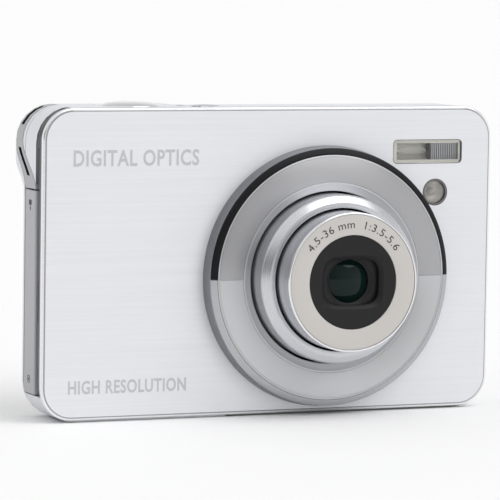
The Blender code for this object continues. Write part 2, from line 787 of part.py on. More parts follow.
def cases(bench):
    """Front plate, and the front and rear halves of the case."""
    flash, lamp = front_openings(bench)
    plate = block(
        bench,
        "front_plate",
        (-PLATE_WIDTH / 2, 0, PLATE_LIFT),
        (PLATE_WIDTH / 2, PLATE_THICK, BODY_HEIGHT),
        "brushed_plate",
        corner=("Y", PLATE_CORNER, 8),
        rims=[("Y", -1, PLATE_EDGE, 3)],
    )
    centre = (LENS_X, 0, LENS_HEIGHT)
    cut(plate, cylinder(bench, "plate_bore", centre, PLATE_BORE_R, -3, 3, "Y", segments=64))
    cut(plate, flash, lamp)

    hollow = hollow_form(bench)
    slack = GAP / 2
    band_room = band_region(bench, "band_room", GAP)
    cover_room = block(
        bench,
        "cover_room",
        (-HALF - 5, GROOVE_BACK - 1, COVER_BOTTOM - GAP),
        (WALL + 0.2 - HALF, FRONT_DEPTH + slack, COVER_TOP + GAP),
    )
    door_room = door_strip(bench, "door_room", GAP)
    shutter = (SHUTTER_X, SHUTTER_DEPTH, 0)
    power = (POWER_X, POWER_DEPTH, 0)
    socket = (LENS_X, BODY_DEPTH / 2, 0)
    top = BODY_HEIGHT
    bezel_r = SHUTTER_R + GAP + BEZEL_WALL
    shared = [
        cylinder(bench, "shutter_hole", shutter, bezel_r + 0.15, top - 3.2, top + 3, segments=32),
        cylinder(bench, "power_recess", power, RECESS_R, top - RECESS_DEPTH, top + 3, segments=32),
        cylinder(bench, "power_hole", power, POWER_R + 0.2, top - 3, top + 3, segments=24),
        cylinder(bench, "socket_hole", socket, TRIPOD_R + 0.2, -2, WALL + 2, segments=32),
        band_room,
        door_room,
    ]
    holes = case_screws(bench)

    front = body_form(bench, "front_case", 0.0, BODY_FRONT, "satin_case")
    far = (HALF + 9, BODY_HEIGHT + 9)
    front_half = block(
        bench, "front_half", (-far[0], -9, -9), (far[0], FRONT_DEPTH - slack, far[1])
    )
    keep(front, front_half)
    lens_r = HOUSING_R + GAP
    cut(front, hollow, neck_form(bench))
    cut(front, cylinder(bench, "case_bore", centre, lens_r, -3, 5, "Y", segments=48))
    gear_x, gear_y = polar(gear_distance(RIM_TEETH, PINION_TEETH), GEAR_BEARING)
    gear_place = (LENS_X + gear_x, 0, LENS_HEIGHT + gear_y)
    cut(front, cylinder(bench, "gear_relief", gear_place, 2.8, -3, 5, "Y", segments=20))
    cut(front, flash, lamp, cover_room, *shared, *holes)

    rear = body_form(bench, "rear_case", 0.0, BODY_FRONT, "satin_case")
    rear_half = block(
        bench, "rear_half", (-far[0], FRONT_DEPTH + slack, -9), (far[0], HUMP_DEPTH + 9, far[1])
    )
    keep(rear, rear_half)
    cut(rear, hollow, *shared)
    return rear


# ---------------------------------------------------------------------------------------------
# Controls


def round_key(bench, name, place, radius, slot):
    """A rear push button with a hidden flange, and the hole that it needs."""
    x, z = place
    wall = (REAR_INSIDE, BODY_DEPTH)
    proud = wall[1] + BUTTON_PROUD
    frame_y = wall[0] - 0.7
    key = cylinder(bench, name, (x, 0, z), radius, frame_y + 0.3, proud, "Y", slot, 24)
    flange_ends = (frame_y, wall[0] - 0.2)
    join(key, cylinder(bench, f"{name}_flange", (x, 0, z), radius + 0.5, *flange_ends, "Y"))
    hole_ends = (wall[0] - 2, wall[1] + 2)
    return cylinder(bench, f"{name}_hole", (x, 0, z), radius + 0.2, *hole_ends, "Y")


def rear_controls(bench, rear):
    """Buttons, four-way pad and zoom rocker, with the rear case cut to take them."""
    side = BUTTON_SPREAD / 2
    low, high = BUTTON_ROWS
    for name, x, z in (
        ("mode_button", CONTROLS_X - side, high),
        ("playback_button", CONTROLS_X + side, high),
        ("menu_button", CONTROLS_X - side, low),
        ("delete_button", CONTROLS_X + side, low),
    ):
        cut(rear, round_key(bench, name, (x, z), BUTTON_R, "bright_chrome"))

    pad_place = (CONTROLS_X, REAR_INSIDE - 0.3, NAV_HEIGHT)
    pad = bench.empty("nav_axis", bench.body, pad_place, (-math.pi / 2, 0, 0))
    proud = WALL + 0.3 + BUTTON_PROUD
    ring = [
        (NAV_BORE_R, proud - 0.3),
        (NAV_BORE_R + 0.4, proud),
        (NAV_R - 1.2, proud),
        (NAV_R, proud - 0.6),
        (NAV_R, 0.1),
        (NAV_BORE_R, 0.1),
    ]
    turned(bench, "nav_ring", ring, "bright_chrome", 30, pad)
    carrier = [
        (NAV_BORE_R + 2.2, -0.3),
        (NAV_BORE_R + 2.2, -0.6),
        (NAV_BORE_R + 0.3, -0.6),
        (NAV_BORE_R + 0.3, -0.3),
    ]
    turned(bench, "nav_pivot", carrier, "black_plastic", 24, pad)
    centre = (CONTROLS_X, 0, NAV_HEIGHT)
    ok_ends = (REAR_INSIDE - 0.6, BODY_DEPTH + BUTTON_PROUD + 0.15)
    cylinder(bench, "ok_button", centre, OK_R, *ok_ends, "Y", "bright_chrome", 24)
    hole_ends = (REAR_INSIDE - 2, BODY_DEPTH + 2)
    cut(rear, cylinder(bench, "nav_hole", centre, NAV_R + 0.3, *hole_ends, "Y", segments=36))

    rocker_x = HUMP_END - HUMP_WIDTH / 2
    rocker_z = BODY_HEIGHT - HUMP_EDGE - ROCKER_SIZE[1] / 2 - 0.9
    half_w, half_h = ROCKER_SIZE[0] / 2, ROCKER_SIZE[1] / 2
    hump_inside = HUMP_DEPTH - WALL
    block(
        bench,
        "zoom_rocker",
        (rocker_x - half_w, hump_inside + 0.2, rocker_z - half_h),
        (rocker_x + half_w, HUMP_DEPTH + ROCKER_PROUD, rocker_z + half_h),
        "bright_chrome",
        corner=("Y", 1.2, 3),
        rims=[("Y", 1, 0.35, 2)],
        origin=(rocker_x, hump_inside + 0.6, rocker_z),
    )
    room = block(
        bench,
        "rocker_hole",
        (rocker_x - half_w - GAP, hump_inside - 2, rocker_z - half_h - GAP),
        (rocker_x + half_w + GAP, HUMP_DEPTH + 2, rocker_z + half_h + GAP),
        corner=("Y", 1.5, 3),
    )
    cut(rear, room)

    led = (SCREEN_LEFT + 8.0, 0, SCREEN_HEIGHT + SCREEN_SIZE[1] / 2 + 2.4)
    led_ends = (REAR_INSIDE - 1, BODY_DEPTH - 0.05)
    cylinder(bench, "status_led", led, 0.8, *led_ends, "Y", "clear_glass", 12)
    cut(rear, cylinder(bench, "led_hole", led, 1.0, *hole_ends, "Y", segments=12))


def top_controls(bench):
    """Shutter button with its spring and bezel, and the power button."""
    top = BODY_HEIGHT
    axis = bench.empty("shutter_axis", bench.body, (SHUTTER_X, SHUTTER_DEPTH, top))
    inner = SHUTTER_R + GAP
    outer = inner + BEZEL_WALL
    floor = -2.9
    bezel = [
        (outer, 0.05),
        (outer, floor),
        (1.9, floor),
        (1.9, floor + 0.6),
        (inner, floor + 0.6),
        (inner, 0.05),
    ]
    turned(bench, "shutter_bezel", bezel, "bright_chrome", 28, axis)
    rings = 4
    dome = [
        (SHUTTER_R * step / rings, SHUTTER_PROUD - 0.75 * (step / rings) ** 2)
        for step in range(rings + 1)
    ]
    under = [
        (SHUTTER_R, -0.8),
        (SHUTTER_R - 0.6, -0.8),
        (SHUTTER_R - 0.6, -0.1),
        (1.5, -0.1),
        (1.5, -4.6),
        (0.0, -4.6),
    ]
    turned(bench, "shutter_button", dome + under, "bright_chrome", 28, axis)

    turns, per_turn, wire = 3, 10, 0.2
    base, height = floor + 0.6 + wire + 0.05, 1.7
    curve = bpy.data.curves.new("shutter_spring", "CURVE")
    curve.dimensions = "3D"
    curve.bevel_depth = wire * MM
    curve.bevel_resolution = 1
    curve.use_fill_caps = True
    spline = curve.splines.new("POLY")
    count = turns * per_turn
    spline.points.add(count)
    for step, point in enumerate(spline.points):
        angle = 2 * math.pi * step / per_turn
        rise = base + height * step / count
        point.co = (2.9 * math.cos(angle) * MM, 2.9 * math.sin(angle) * MM, rise * MM, 1.0)
    spring = bpy.data.objects.new("shutter_spring", curve)
    spring.parent = axis
    curve.materials.append(finish("shutter_spring", "steel"))
    bench.parts.objects.link(spring)

    place = (POWER_X, POWER_DEPTH, 0)
    ends = (top - WALL - 0.5, top - 0.15)
    power = cylinder(bench, "power_button", place, POWER_R, *ends, "Z", "bright_chrome", 24)
    flange_ends = (top - WALL - 0.8, top - WALL - 0.2)
    join(power, cylinder(bench, "power_flange", place, POWER_R + 0.5, *flange_ends, "Z"))


# ---------------------------------------------------------------------------------------------
# Lens


def gear_distance(first, second):
    """Centre distance of two gears in mesh."""
    return GEAR_MODULE * (first + second) / 2


def upper_half(bench, name):
    """A block over the upper half of the lens ring."""
    reach = RING_BASE_R + 5
    return block(bench, name, (-reach, 0, -9), (reach, reach, 20), frame=bench.lens)


def lens_ring(bench):
    """Ring on the plate, with the dark stripe and the cut-metal inlay of its upper half."""
    sleeve_r = BARREL_1_R + SLEEVE_GAP
    step = 0.15
    ring = [
        (RING_BORE_R, RING_RISE),
        (RING_FACE_R, RING_RISE - 0.1),
        (RING_FRONT_R, RING_RISE - RING_CHAMFER - 0.1),
        (RING_BASE_R, 0.2),
        (PLATE_BORE_R - GAP, 0.2),
        (PLATE_BORE_R - GAP, -PLATE_THICK),
        (sleeve_r, -PLATE_THICK + 0.4),
        (sleeve_r, RING_RISE - 0.15),
    ]
    body = turned(bench, "lens_ring", ring, "ring_satin", RING_STEPS)
    half = upper_half(bench, "stripe_half")
    stripe_room = turned(
        bench,
        "stripe_room",
        [
            (RING_FACE_R + 0.05, RING_RISE + 1.5),
            (RING_FRONT_R - 0.05, RING_RISE + 1.5),
            (RING_FRONT_R - 0.05, RING_RISE - RING_CHAMFER - 0.1 - INLAY_DEPTH),
            (RING_FACE_R + 0.05, RING_RISE - 0.1 - INLAY_DEPTH - 0.15),
        ],
        steps=RING_STEPS,
    )
    keep(stripe_room, half)
    inlay_in = RING_BORE_R + 0.35
    inlay_out = RING_FACE_R - 0.35
    inlay_room = turned(
        bench,
        "inlay_room",
        [
            (inlay_in, RING_RISE + 1.5),
            (inlay_out, RING_RISE + 1.5),
            (inlay_out, RING_RISE - 0.1 - INLAY_DEPTH),
            (inlay_in, RING_RISE - 0.1 - INLAY_DEPTH),
        ],
        steps=RING_STEPS,
    )
    keep(inlay_room, half)
    cut(body, stripe_room, inlay_room)

    inset = upper_half(bench, "inlay_half")
    inset.location.y += 0.1 * MM
    slope = RING_CHAMFER / (RING_FRONT_R - RING_FACE_R)
    low_r, high_r = RING_FACE_R + step, RING_FRONT_R - step
    top = RING_RISE - 0.1
    stripe = [
        (low_r, top - slope * step),
        (high_r, top - RING_CHAMFER + slope * step),
        (high_r, top - RING_CHAMFER - 0.1),
        (low_r, top - slope * step - 0.3),
    ]
    keep(turned(bench, "lens_ring_stripe", stripe, "black_gloss", RING_STEPS), inset)
    inlay = [
        (inlay_in + 0.1, RING_RISE + 0.05),
        (inlay_out - 0.1, RING_RISE + 0.0),
        (inlay_out - 0.1, RING_RISE - INLAY_DEPTH),
        (inlay_in + 0.1, RING_RISE - INLAY_DEPTH),
    ]
    keep(turned(bench, "lens_ring_inlay", inlay, "ring_satin", RING_STEPS), inset)


def barrels(bench):
    """Rotating barrel 1, the guide ring inside it and sliding barrel 2, as they stand extended."""
    bore = BARREL_1_R - BARREL_1_WALL
    shoulder = 1.0
    arc = [
        (
            BARREL_1_R - shoulder + shoulder * math.sin(math.radians(angle)),
            BARREL_1_RISE - shoulder + shoulder * math.cos(math.radians(angle)),
        )
        for angle in (0, 30, 60, 90)
    ]
    outer = [(BARREL_1_LIP_R, BARREL_1_RISE)] + arc
    inner = [
        (BARREL_1_R, -BARREL_REAR),
        (bore, -BARREL_REAR),
        (bore, BARREL_1_RISE - 1.0),
        (BARREL_1_LIP_R, BARREL_1_RISE - 1.0),
    ]
    barrel = turned(bench, "barrel_1", outer + inner, "side_metal", BARREL_STEPS)
    rim_high = -BARREL_REAR + 0.9
    rim_low = -BARREL_REAR + 0.1
    rim_outline = gear_outline(RIM_TEETH, GEAR_BEARING)
    rim = prism(bench, "barrel_rim", rim_outline, rim_low, rim_high, frame=bench.lens)
    reach = 2 * BARREL_1_R
    sector = [(0.0, 0.0)] + [
        polar(reach, GEAR_BEARING - 8 + (BARREL_TURN + 16) * step / 6) for step in range(7)
    ]
    keep(rim, prism(bench, "rim_sector", sector, -9, 9, frame=bench.lens))
    rim_bore = BARREL_1_R - BARREL_1_WALL / 2
    centre = (0, 0, 0)
    cut(rim, cylinder(bench, "rim_bore", centre, rim_bore, -9, 9, segments=BARREL_STEPS, frame=bench.lens))
    join(barrel, rim)

    guide_out = bore - 0.3
    guide_in = BARREL_2_R + 0.45
    rear = -BARREL_REAR + 0.2
    front = BARREL_1_RISE - 1.4
    guide = turned(
        bench,
        "guide_ring",
        [(guide_out, front), (guide_out, rear), (guide_in, rear), (guide_in, front)],
        "black_plastic",
        36,
    )
    for key in range(3):
        turn = math.radians(30 + 120 * key)
        low, high = (0, -0.8, rear + 2), (20, 0.8, front - 2)
        slot = block(bench, f"guide_slot_{key}", low, high, frame=bench.lens)
        slot.location = Matrix.Rotation(turn, 4, "Z") @ slot.location
        slot.rotation_euler = (0, 0, turn)
        cut(guide, slot)

    front = BARREL_2_RISE
    rear = front - BARREL_2_LENGTH
    bore = BARREL_2_R - BARREL_2_WALL
    seat_r = BARREL_2_R - 0.4
    cell_front = front - 1.8
    cell_rear = cell_front - 1.7
    barrel = [
        (seat_r, front),
        (BARREL_2_R - 0.15, front),
        (BARREL_2_R, front - 0.2),
        (BARREL_2_R, rear),
        (bore, rear),
        (bore, cell_rear),
        (FRONT_LENS_R + 0.1, cell_rear),
        (FRONT_LENS_R + 0.1, cell_front),
        (bore, cell_front),
        (bore, front - NAME_RING_THICK - 0.15),
        (seat_r, front - NAME_RING_THICK - 0.15),
    ]
    turned(bench, "barrel_2", barrel, "side_metal", BARREL_STEPS)
    top = front - 0.05
    name_ring = [
        (NAME_RING_BORE_R, top),
        (seat_r - 0.1, top),
        (seat_r - 0.1, top - NAME_RING_THICK),
        (NAME_RING_BORE_R, top - NAME_RING_THICK),
    ]
    turned(bench, "name_ring", name_ring, "warm_silver", BARREL_STEPS)
    mask_ends = (top - NAME_RING_THICK, top - 0.1)
    mask_r = NAME_RING_BORE_R - 0.1
    mask = cylinder(
        bench, "mask_disc", (0, 0, 0), mask_r, *mask_ends, "Z", "black_plastic", BARREL_STEPS, bench.lens
    )
    half_w, half_h = MASK_OPENING[0] / 2, MASK_OPENING[1] / 2
    window = block(
        bench,
        "mask_window",
        (-half_w, -half_h, 9),
        (half_w, half_h, 20),
        corner=("Z", 2.6, 4),
        frame=bench.lens,
    )
    cut(mask, window)
    glass(bench, "front_lens", FRONT_LENS_R, cell_front - 0.1, cell_rear + 0.2, 0.5, "coated_glass")

    blade_low = cell_front + 0.3
    blade_high = blade_low + 0.4
    width = half_w + 0.5
    for name, side in (("barrier_blade_upper", 1), ("barrier_blade_lower", -1)):
        near = side * (BLADE_TRAVEL + 0.03)
        far = side * (BLADE_TRAVEL + half_h + 0.15)
        low_y, high_y = sorted((near, far))
        block(
            bench,
            name,
            (-width, low_y, blade_low),
            (width, high_y, blade_high),
            "black_plastic",
            frame=bench.lens,
        )


def glass(bench, name, radius, front, rear, bulge, slot):
    """A lens that bulges forward, turned round the lens axis."""
    rings = 3
    dome = [
        (radius * step / rings, front - bulge * (step / rings) ** 2) for step in range(rings + 1)
    ]
    return turned(bench, name, dome + [(radius, rear), (0.0, rear)], slot, 24)


def inner_groups(bench):
    """Shutter unit with the middle lens, and the focus cell with its lens."""
    outer = BARREL_2_R - BARREL_2_WALL - 0.4
    front, rear = 4.5, 1.0
    unit = [
        (4.2, front),
        (outer, front),
        (outer, front - 1.6),
        (7.5, front - 1.6),
        (7.5, rear),
        (4.2, rear),
    ]
    turned(bench, "shutter_unit", unit, "black_plastic", 28)
    glass(bench, "middle_lens", 4.0, front - 0.4, rear + 0.5, 0.6, "coated_glass")
    front, rear = -5.4, -6.8
    cell = [(5.2, front), (8.0, front), (8.0, rear), (5.2, rear)]
    turned(bench, "focus_cell", cell, "black_plastic", 24)
    glass(bench, "focus_lens", 5.0, front, rear + 0.2, 0.35, "coated_glass")


def lens_housing(bench):
    """Fixed housing behind the plate, the sensor on it and the zoom gear train."""
    wall_front = HOUSING_REAR - 0.6
    profile = [
        (HOUSING_R, -BODY_FRONT - 0.1),
        (HOUSING_R, -HOUSING_REAR),
        (8.6, -HOUSING_REAR),
        (8.6, -wall_front),
        (HOUSING_BORE_R, -wall_front),
        (HOUSING_BORE_R, -BODY_FRONT - 0.1),
    ]
    housing = turned(bench, "lens_housing", profile, "black_plastic", BARREL_STEPS)
    distance = gear_distance(RIM_TEETH, PINION_TEETH)
    gear_x, gear_y = polar(distance, GEAR_BEARING)
    gear_axis = bench.empty("drive_gear_axis", bench.lens, (gear_x, gear_y, 0))
    centre = (0, 0, 0)
    relief = cylinder(bench, "pinion_room", centre, 2.7, -20, 9, segments=24, frame=gear_axis)
    cut(housing, relief)

    wheel_front = -HOUSING_REAR - 0.2
    wheel_rear = wheel_front - 0.8
    pinion_bearing = GEAR_BEARING + 180 + 180 / PINION_TEETH
    pinion = prism(
        bench,
        "drive_gear",
        gear_outline(PINION_TEETH, pinion_bearing),
        -(HOUSING_REAR - 0.8),
        -(BARREL_REAR - 1.1),
        slot="gear_white",
        frame=gear_axis,
    )
    wheel_outline = gear_outline(WHEEL_TEETH, MOTOR_BEARING)
    wheel = prism(bench, "drive_wheel", wheel_outline, wheel_rear, wheel_front, frame=gear_axis)
    hub_ends = (wheel_rear + 0.1, -(HOUSING_REAR - 1.2))
    hub = cylinder(bench, "drive_hub", centre, 1.1, *hub_ends, segments=16, frame=gear_axis)
    join(pinion, hub, wheel)

    step_x, step_y = polar(gear_distance(WHEEL_TEETH, MOTOR_TEETH), MOTOR_BEARING)
    motor_axis = bench.empty("motor_axis", bench.lens, (gear_x + step_x, gear_y + step_y, 0))
    motor_rear = -(HOUSING_REAR - 0.9)
    motor_front = motor_rear + MOTOR_LENGTH
    cylinder(bench, "zoom_motor", centre, MOTOR_R, motor_rear, motor_front, "Z", "steel", 24, motor_axis)
    motor_outline = gear_outline(MOTOR_TEETH, MOTOR_BEARING + 180 + 180 / MOTOR_TEETH)
    motor_pinion = prism(
        bench,
        "motor_pinion",
        motor_outline,
        wheel_rear,
        wheel_front,
        slot="brass",
        frame=motor_axis,
    )
    shaft_ends = (wheel_front - 0.3, motor_rear - 0.1)
    shaft = cylinder(bench, "motor_shaft", centre, 0.5, *shaft_ends, segments=12, frame=motor_axis)
    join(motor_pinion, shaft)

    sensor_front = -HOUSING_REAR - 0.15
    block(
        bench,
        "image_sensor",
        (-6.0, -5.0, sensor_front - 1.0),
        (6.0, 5.0, sensor_front),
        "coated_glass",
        frame=bench.lens,
    )


# ---------------------------------------------------------------------------------------------
# Flash, screen, boards and tripod socket


def flash_and_lamp(bench):
    """Flash window, reflector, tube and capacitor, and the round lamp window."""
    x = LENS_X + FLASH_OFFSET[0]
    z = LENS_HEIGHT + FLASH_OFFSET[1]
    half_w, half_h = FLASH_SIZE[0] / 2, FLASH_SIZE[1] / 2
    inside = BODY_FRONT + WALL
    block(
        bench,
        "flash_window",
        (x - half_w, 0.1, z - half_h),
        (x + half_w, inside - 0.2, z + half_h),
        "clear_glass",
        corner=("Y", 0.8, 3),
    )
    front = inside + 0.1
    back = front + 4.2
    reflector = block(
        bench,
        "flash_reflector",
        (x - half_w, front, z - half_h - 0.6),
        (x + half_w, back, z + half_h + 0.6),
        "reflector",
    )
    dish = cylinder(
        bench,
        "reflector_dish",
        (0, front, z),
        half_h + 0.1,
        x - half_w + 0.6,
        x + half_w - 0.6,
        "X",
        segments=24,
    )
    cut(reflector, dish)
    tube_ends = (x - half_w + 1.0, x + half_w - 1.0)
    cylinder(bench, "flash_tube", (0, front + 1.1, z), 0.7, *tube_ends, "X", "clear_glass", 12)
    capacitor_r = (BOARD_FRONT - inside - 2 * GAP) / 2
    capacitor = (HALF - SCREW_LENGTH - GAP - capacitor_r, inside + GAP + capacitor_r, 0)
    cylinder(bench, "flash_capacitor", capacitor, capacitor_r, 8, 37, "Z", "black_plastic", 20)
    lamp = (LENS_X + LAMP_OFFSET[0], 0, LENS_HEIGHT + LAMP_OFFSET[1])
    cylinder(bench, "lamp_window", lamp, LAMP_R, -0.1, inside - 0.2, "Y", "clear_glass", 32)


def screen_and_boards(bench, rear):
    """Screen panel and its window, and the two circuit boards."""
    half_h = SCREEN_SIZE[1] / 2
    low = (SCREEN_LEFT, REAR_INSIDE + 0.05, SCREEN_HEIGHT - half_h)
    high = (SCREEN_RIGHT, BODY_DEPTH - 0.1, SCREEN_HEIGHT + half_h)
    block(bench, "lcd_window", low, high, "black_gloss", corner=("Y", 1.0, 3))
    room = Vector((0.15, 3, 0.15))
    opening = block(bench, "lcd_opening", Vector(low) - room, Vector(high) + room, corner=("Y", 1.1, 3))
    cut(rear, opening)
    panel_back = REAR_INSIDE - 0.25
    block(
        bench,
        "lcd_panel",
        (SCREEN_LEFT + 0.6, panel_back - 2.0, SCREEN_HEIGHT - half_h + 0.6),
        (SCREEN_RIGHT - 0.6, panel_back, SCREEN_HEIGHT + half_h - 0.6),
        "black_gloss",
    )
    board_bottom = TRIPOD_HEIGHT + 1.2
    block(
        bench,
        "main_board",
        (HOLDER_RIGHT, BOARD_FRONT, board_bottom),
        (HALF - WALL - 1.0, BOARD_FRONT + BOARD_THICK, BODY_HEIGHT - 5.0),
        "board_green",
    )
    block(
        bench,
        "control_board",
        (WALL + 2.0 - HALF, CONTROL_BOARD_BACK - 0.5, 6.0),
        (SCREEN_LEFT - 0.6, CONTROL_BOARD_BACK, BUTTON_ROWS[1] + 2.5),
        "board_green",
    )


def tripod_socket(bench):
    """Threaded socket under the lens, as a plain bore."""
    axis = bench.empty("tripod_axis", bench.body, (LENS_X, BODY_DEPTH / 2, 0))
    floor = TRIPOD_HEIGHT - 0.7
    profile = [
        (0.0, TRIPOD_HEIGHT),
        (TRIPOD_R, TRIPOD_HEIGHT),
        (TRIPOD_R, 0.0),
        (TRIPOD_BORE_R, 0.0),
        (TRIPOD_BORE_R, floor),
        (0.0, floor),
    ]
    turned(bench, "tripod_socket", profile, "steel", 32, axis)


def main():
    clear_scene()
    bench = Bench()
    rear = cases(bench)
    side_pieces(bench)
    battery_pieces(bench)
    rear_controls(bench, rear)
    top_controls(bench)
    lens_ring(bench)
    barrels(bench)
    inner_groups(bench)
    lens_housing(bench)
    flash_and_lamp(bench)
    screen_and_boards(bench, rear)
    tripod_socket(bench)


main()
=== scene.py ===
"""Studio scene of a compact zoom camera.

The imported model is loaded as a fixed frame. Each sub-assembly is a class that models its finished pieces
round the frame's own boxes, dresses them in procedural finishes and lets them ride on the frame's bodies.
Shapes are given in millimetres. x runs across the camera, y runs back from the front plate and z runs up.
"""

import json
import logging
import math
from collections.abc import Callable, Iterable, Sequence
from dataclasses import dataclass, field
from enum import Enum

import bmesh
import bpy
from mathutils import Matrix, Vector

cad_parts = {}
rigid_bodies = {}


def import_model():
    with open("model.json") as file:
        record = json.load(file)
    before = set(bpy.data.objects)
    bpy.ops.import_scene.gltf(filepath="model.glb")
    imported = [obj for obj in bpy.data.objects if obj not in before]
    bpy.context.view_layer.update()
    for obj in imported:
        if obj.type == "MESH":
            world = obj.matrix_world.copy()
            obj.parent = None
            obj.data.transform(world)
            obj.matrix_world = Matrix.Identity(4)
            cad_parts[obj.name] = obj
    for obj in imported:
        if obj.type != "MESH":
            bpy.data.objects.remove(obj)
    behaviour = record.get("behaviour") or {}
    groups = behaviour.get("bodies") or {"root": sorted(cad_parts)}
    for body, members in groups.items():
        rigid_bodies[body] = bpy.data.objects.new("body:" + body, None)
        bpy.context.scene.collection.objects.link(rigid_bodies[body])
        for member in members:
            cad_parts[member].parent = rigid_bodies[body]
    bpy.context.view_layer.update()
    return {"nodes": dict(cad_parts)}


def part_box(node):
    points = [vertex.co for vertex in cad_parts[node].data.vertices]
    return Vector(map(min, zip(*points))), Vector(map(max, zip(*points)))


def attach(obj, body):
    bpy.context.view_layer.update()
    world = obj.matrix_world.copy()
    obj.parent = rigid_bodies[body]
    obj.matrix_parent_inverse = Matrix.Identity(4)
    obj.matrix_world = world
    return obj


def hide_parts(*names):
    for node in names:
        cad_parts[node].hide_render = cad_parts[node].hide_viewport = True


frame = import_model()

MM = 0.001
LOG = logging.getLogger("camera")
TURNED_MAP = "turned_map"

FORWARD = Vector((0.0, -1.0, 0.0))
REARWARD = Vector((0.0, 1.0, 0.0))
UP = Vector((0.0, 0.0, 1.0))
ACROSS = Vector((1.0, 0.0, 0.0))


# ---------------------------------------------------------------------------------------------
# Places


@dataclass(frozen=True)
class Datum:
    """The planes and axes that the pieces are set out from, read off the frame in metres."""

    lens: Vector
    front: float
    rear: float
    top: float
    base: float

    @classmethod
    def from_frame(cls) -> "Datum":
        """Read the datum planes off the front plate, the lens ring and the case."""
        plate_low, plate_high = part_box("front_plate")
        ring_low, ring_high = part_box("lens_ring")
        case_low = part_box("front_case")[0]
        window_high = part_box("lcd_window")[1]
        middle = (ring_low + ring_high) / 2
        return cls(
            lens=Vector((middle.x, plate_low.y, middle.z)),
            front=plate_low.y,
            rear=window_high.y + 0.1 * MM,
            top=plate_high.z,
            base=case_low.z,
        )


def box_middle(node: str) -> Vector:
    """The middle of a frame node's box."""
    low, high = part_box(node)
    return (low + high) / 2


def box_end(node: str, axis: int) -> Vector:
    """The middle of the end face of a frame node's box on the high side of an axis."""
    spot = box_middle(node)
    spot[axis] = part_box(node)[1][axis]
    return spot


def box_size(node: str) -> Vector:
    """The size of a frame node's box in millimetres."""
    low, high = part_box(node)
    return (high - low) / MM


# ---------------------------------------------------------------------------------------------
# Finishes


class Grain(Enum):
    """The surface texture that a finish carries."""

    BRUSHED = "straight lines along the camera's width"
    TURNED = "concentric lines round the lens axis"
    KNURLED = "two crossing sets of fine lines on the turned map"
    SPRAYED = "fine paint grain"
    MOULDED = "soft moulded grain"
    PRINTED = "board with fine tracks"


class Graph:
    """A material's node tree and short ways to add to it."""

    def __init__(self, name: str) -> None:
        """Make a material with a Principled shader.

        Args:
            name: The finish's name.
        """
        self.material = bpy.data.materials.new(name)
        self.material.use_nodes = True
        self.tree = self.material.node_tree
        self.shader = self.tree.nodes["Principled BSDF"]

    def add(self, kind: str, sockets: dict | None = None, **settings: object) -> bpy.types.Node:
        """Add a node.

        Args:
            kind: The node's type.
            sockets: Input sockets by name or number, each given a value or another node's socket.
            **settings: Properties of the node.

        Returns:
            The node.
        """
        made = self.tree.nodes.new(kind)
        for key, value in settings.items():
            setattr(made, key, value)
        for key, value in (sockets or {}).items():
            if isinstance(value, bpy.types.NodeSocket):
                self.tree.links.new(value, made.inputs[key])
            else:
                made.inputs[key].default_value = value
        return made

    def math(self, operation: str, first: object, second: object = 0.0) -> bpy.types.NodeSocket:
        """The result of a Math node."""
        return self.add("ShaderNodeMath", {0: first, 1: second}, operation=operation).outputs[0]

    def span(self, value: object, low: float, high: float) -> bpy.types.NodeSocket:
        """A value from 0 to 1 stretched to run from low to high."""
        sockets = {"Value": value, "To Min": low, "To Max": high}
        return self.add("ShaderNodeMapRange", sockets).outputs["Result"]


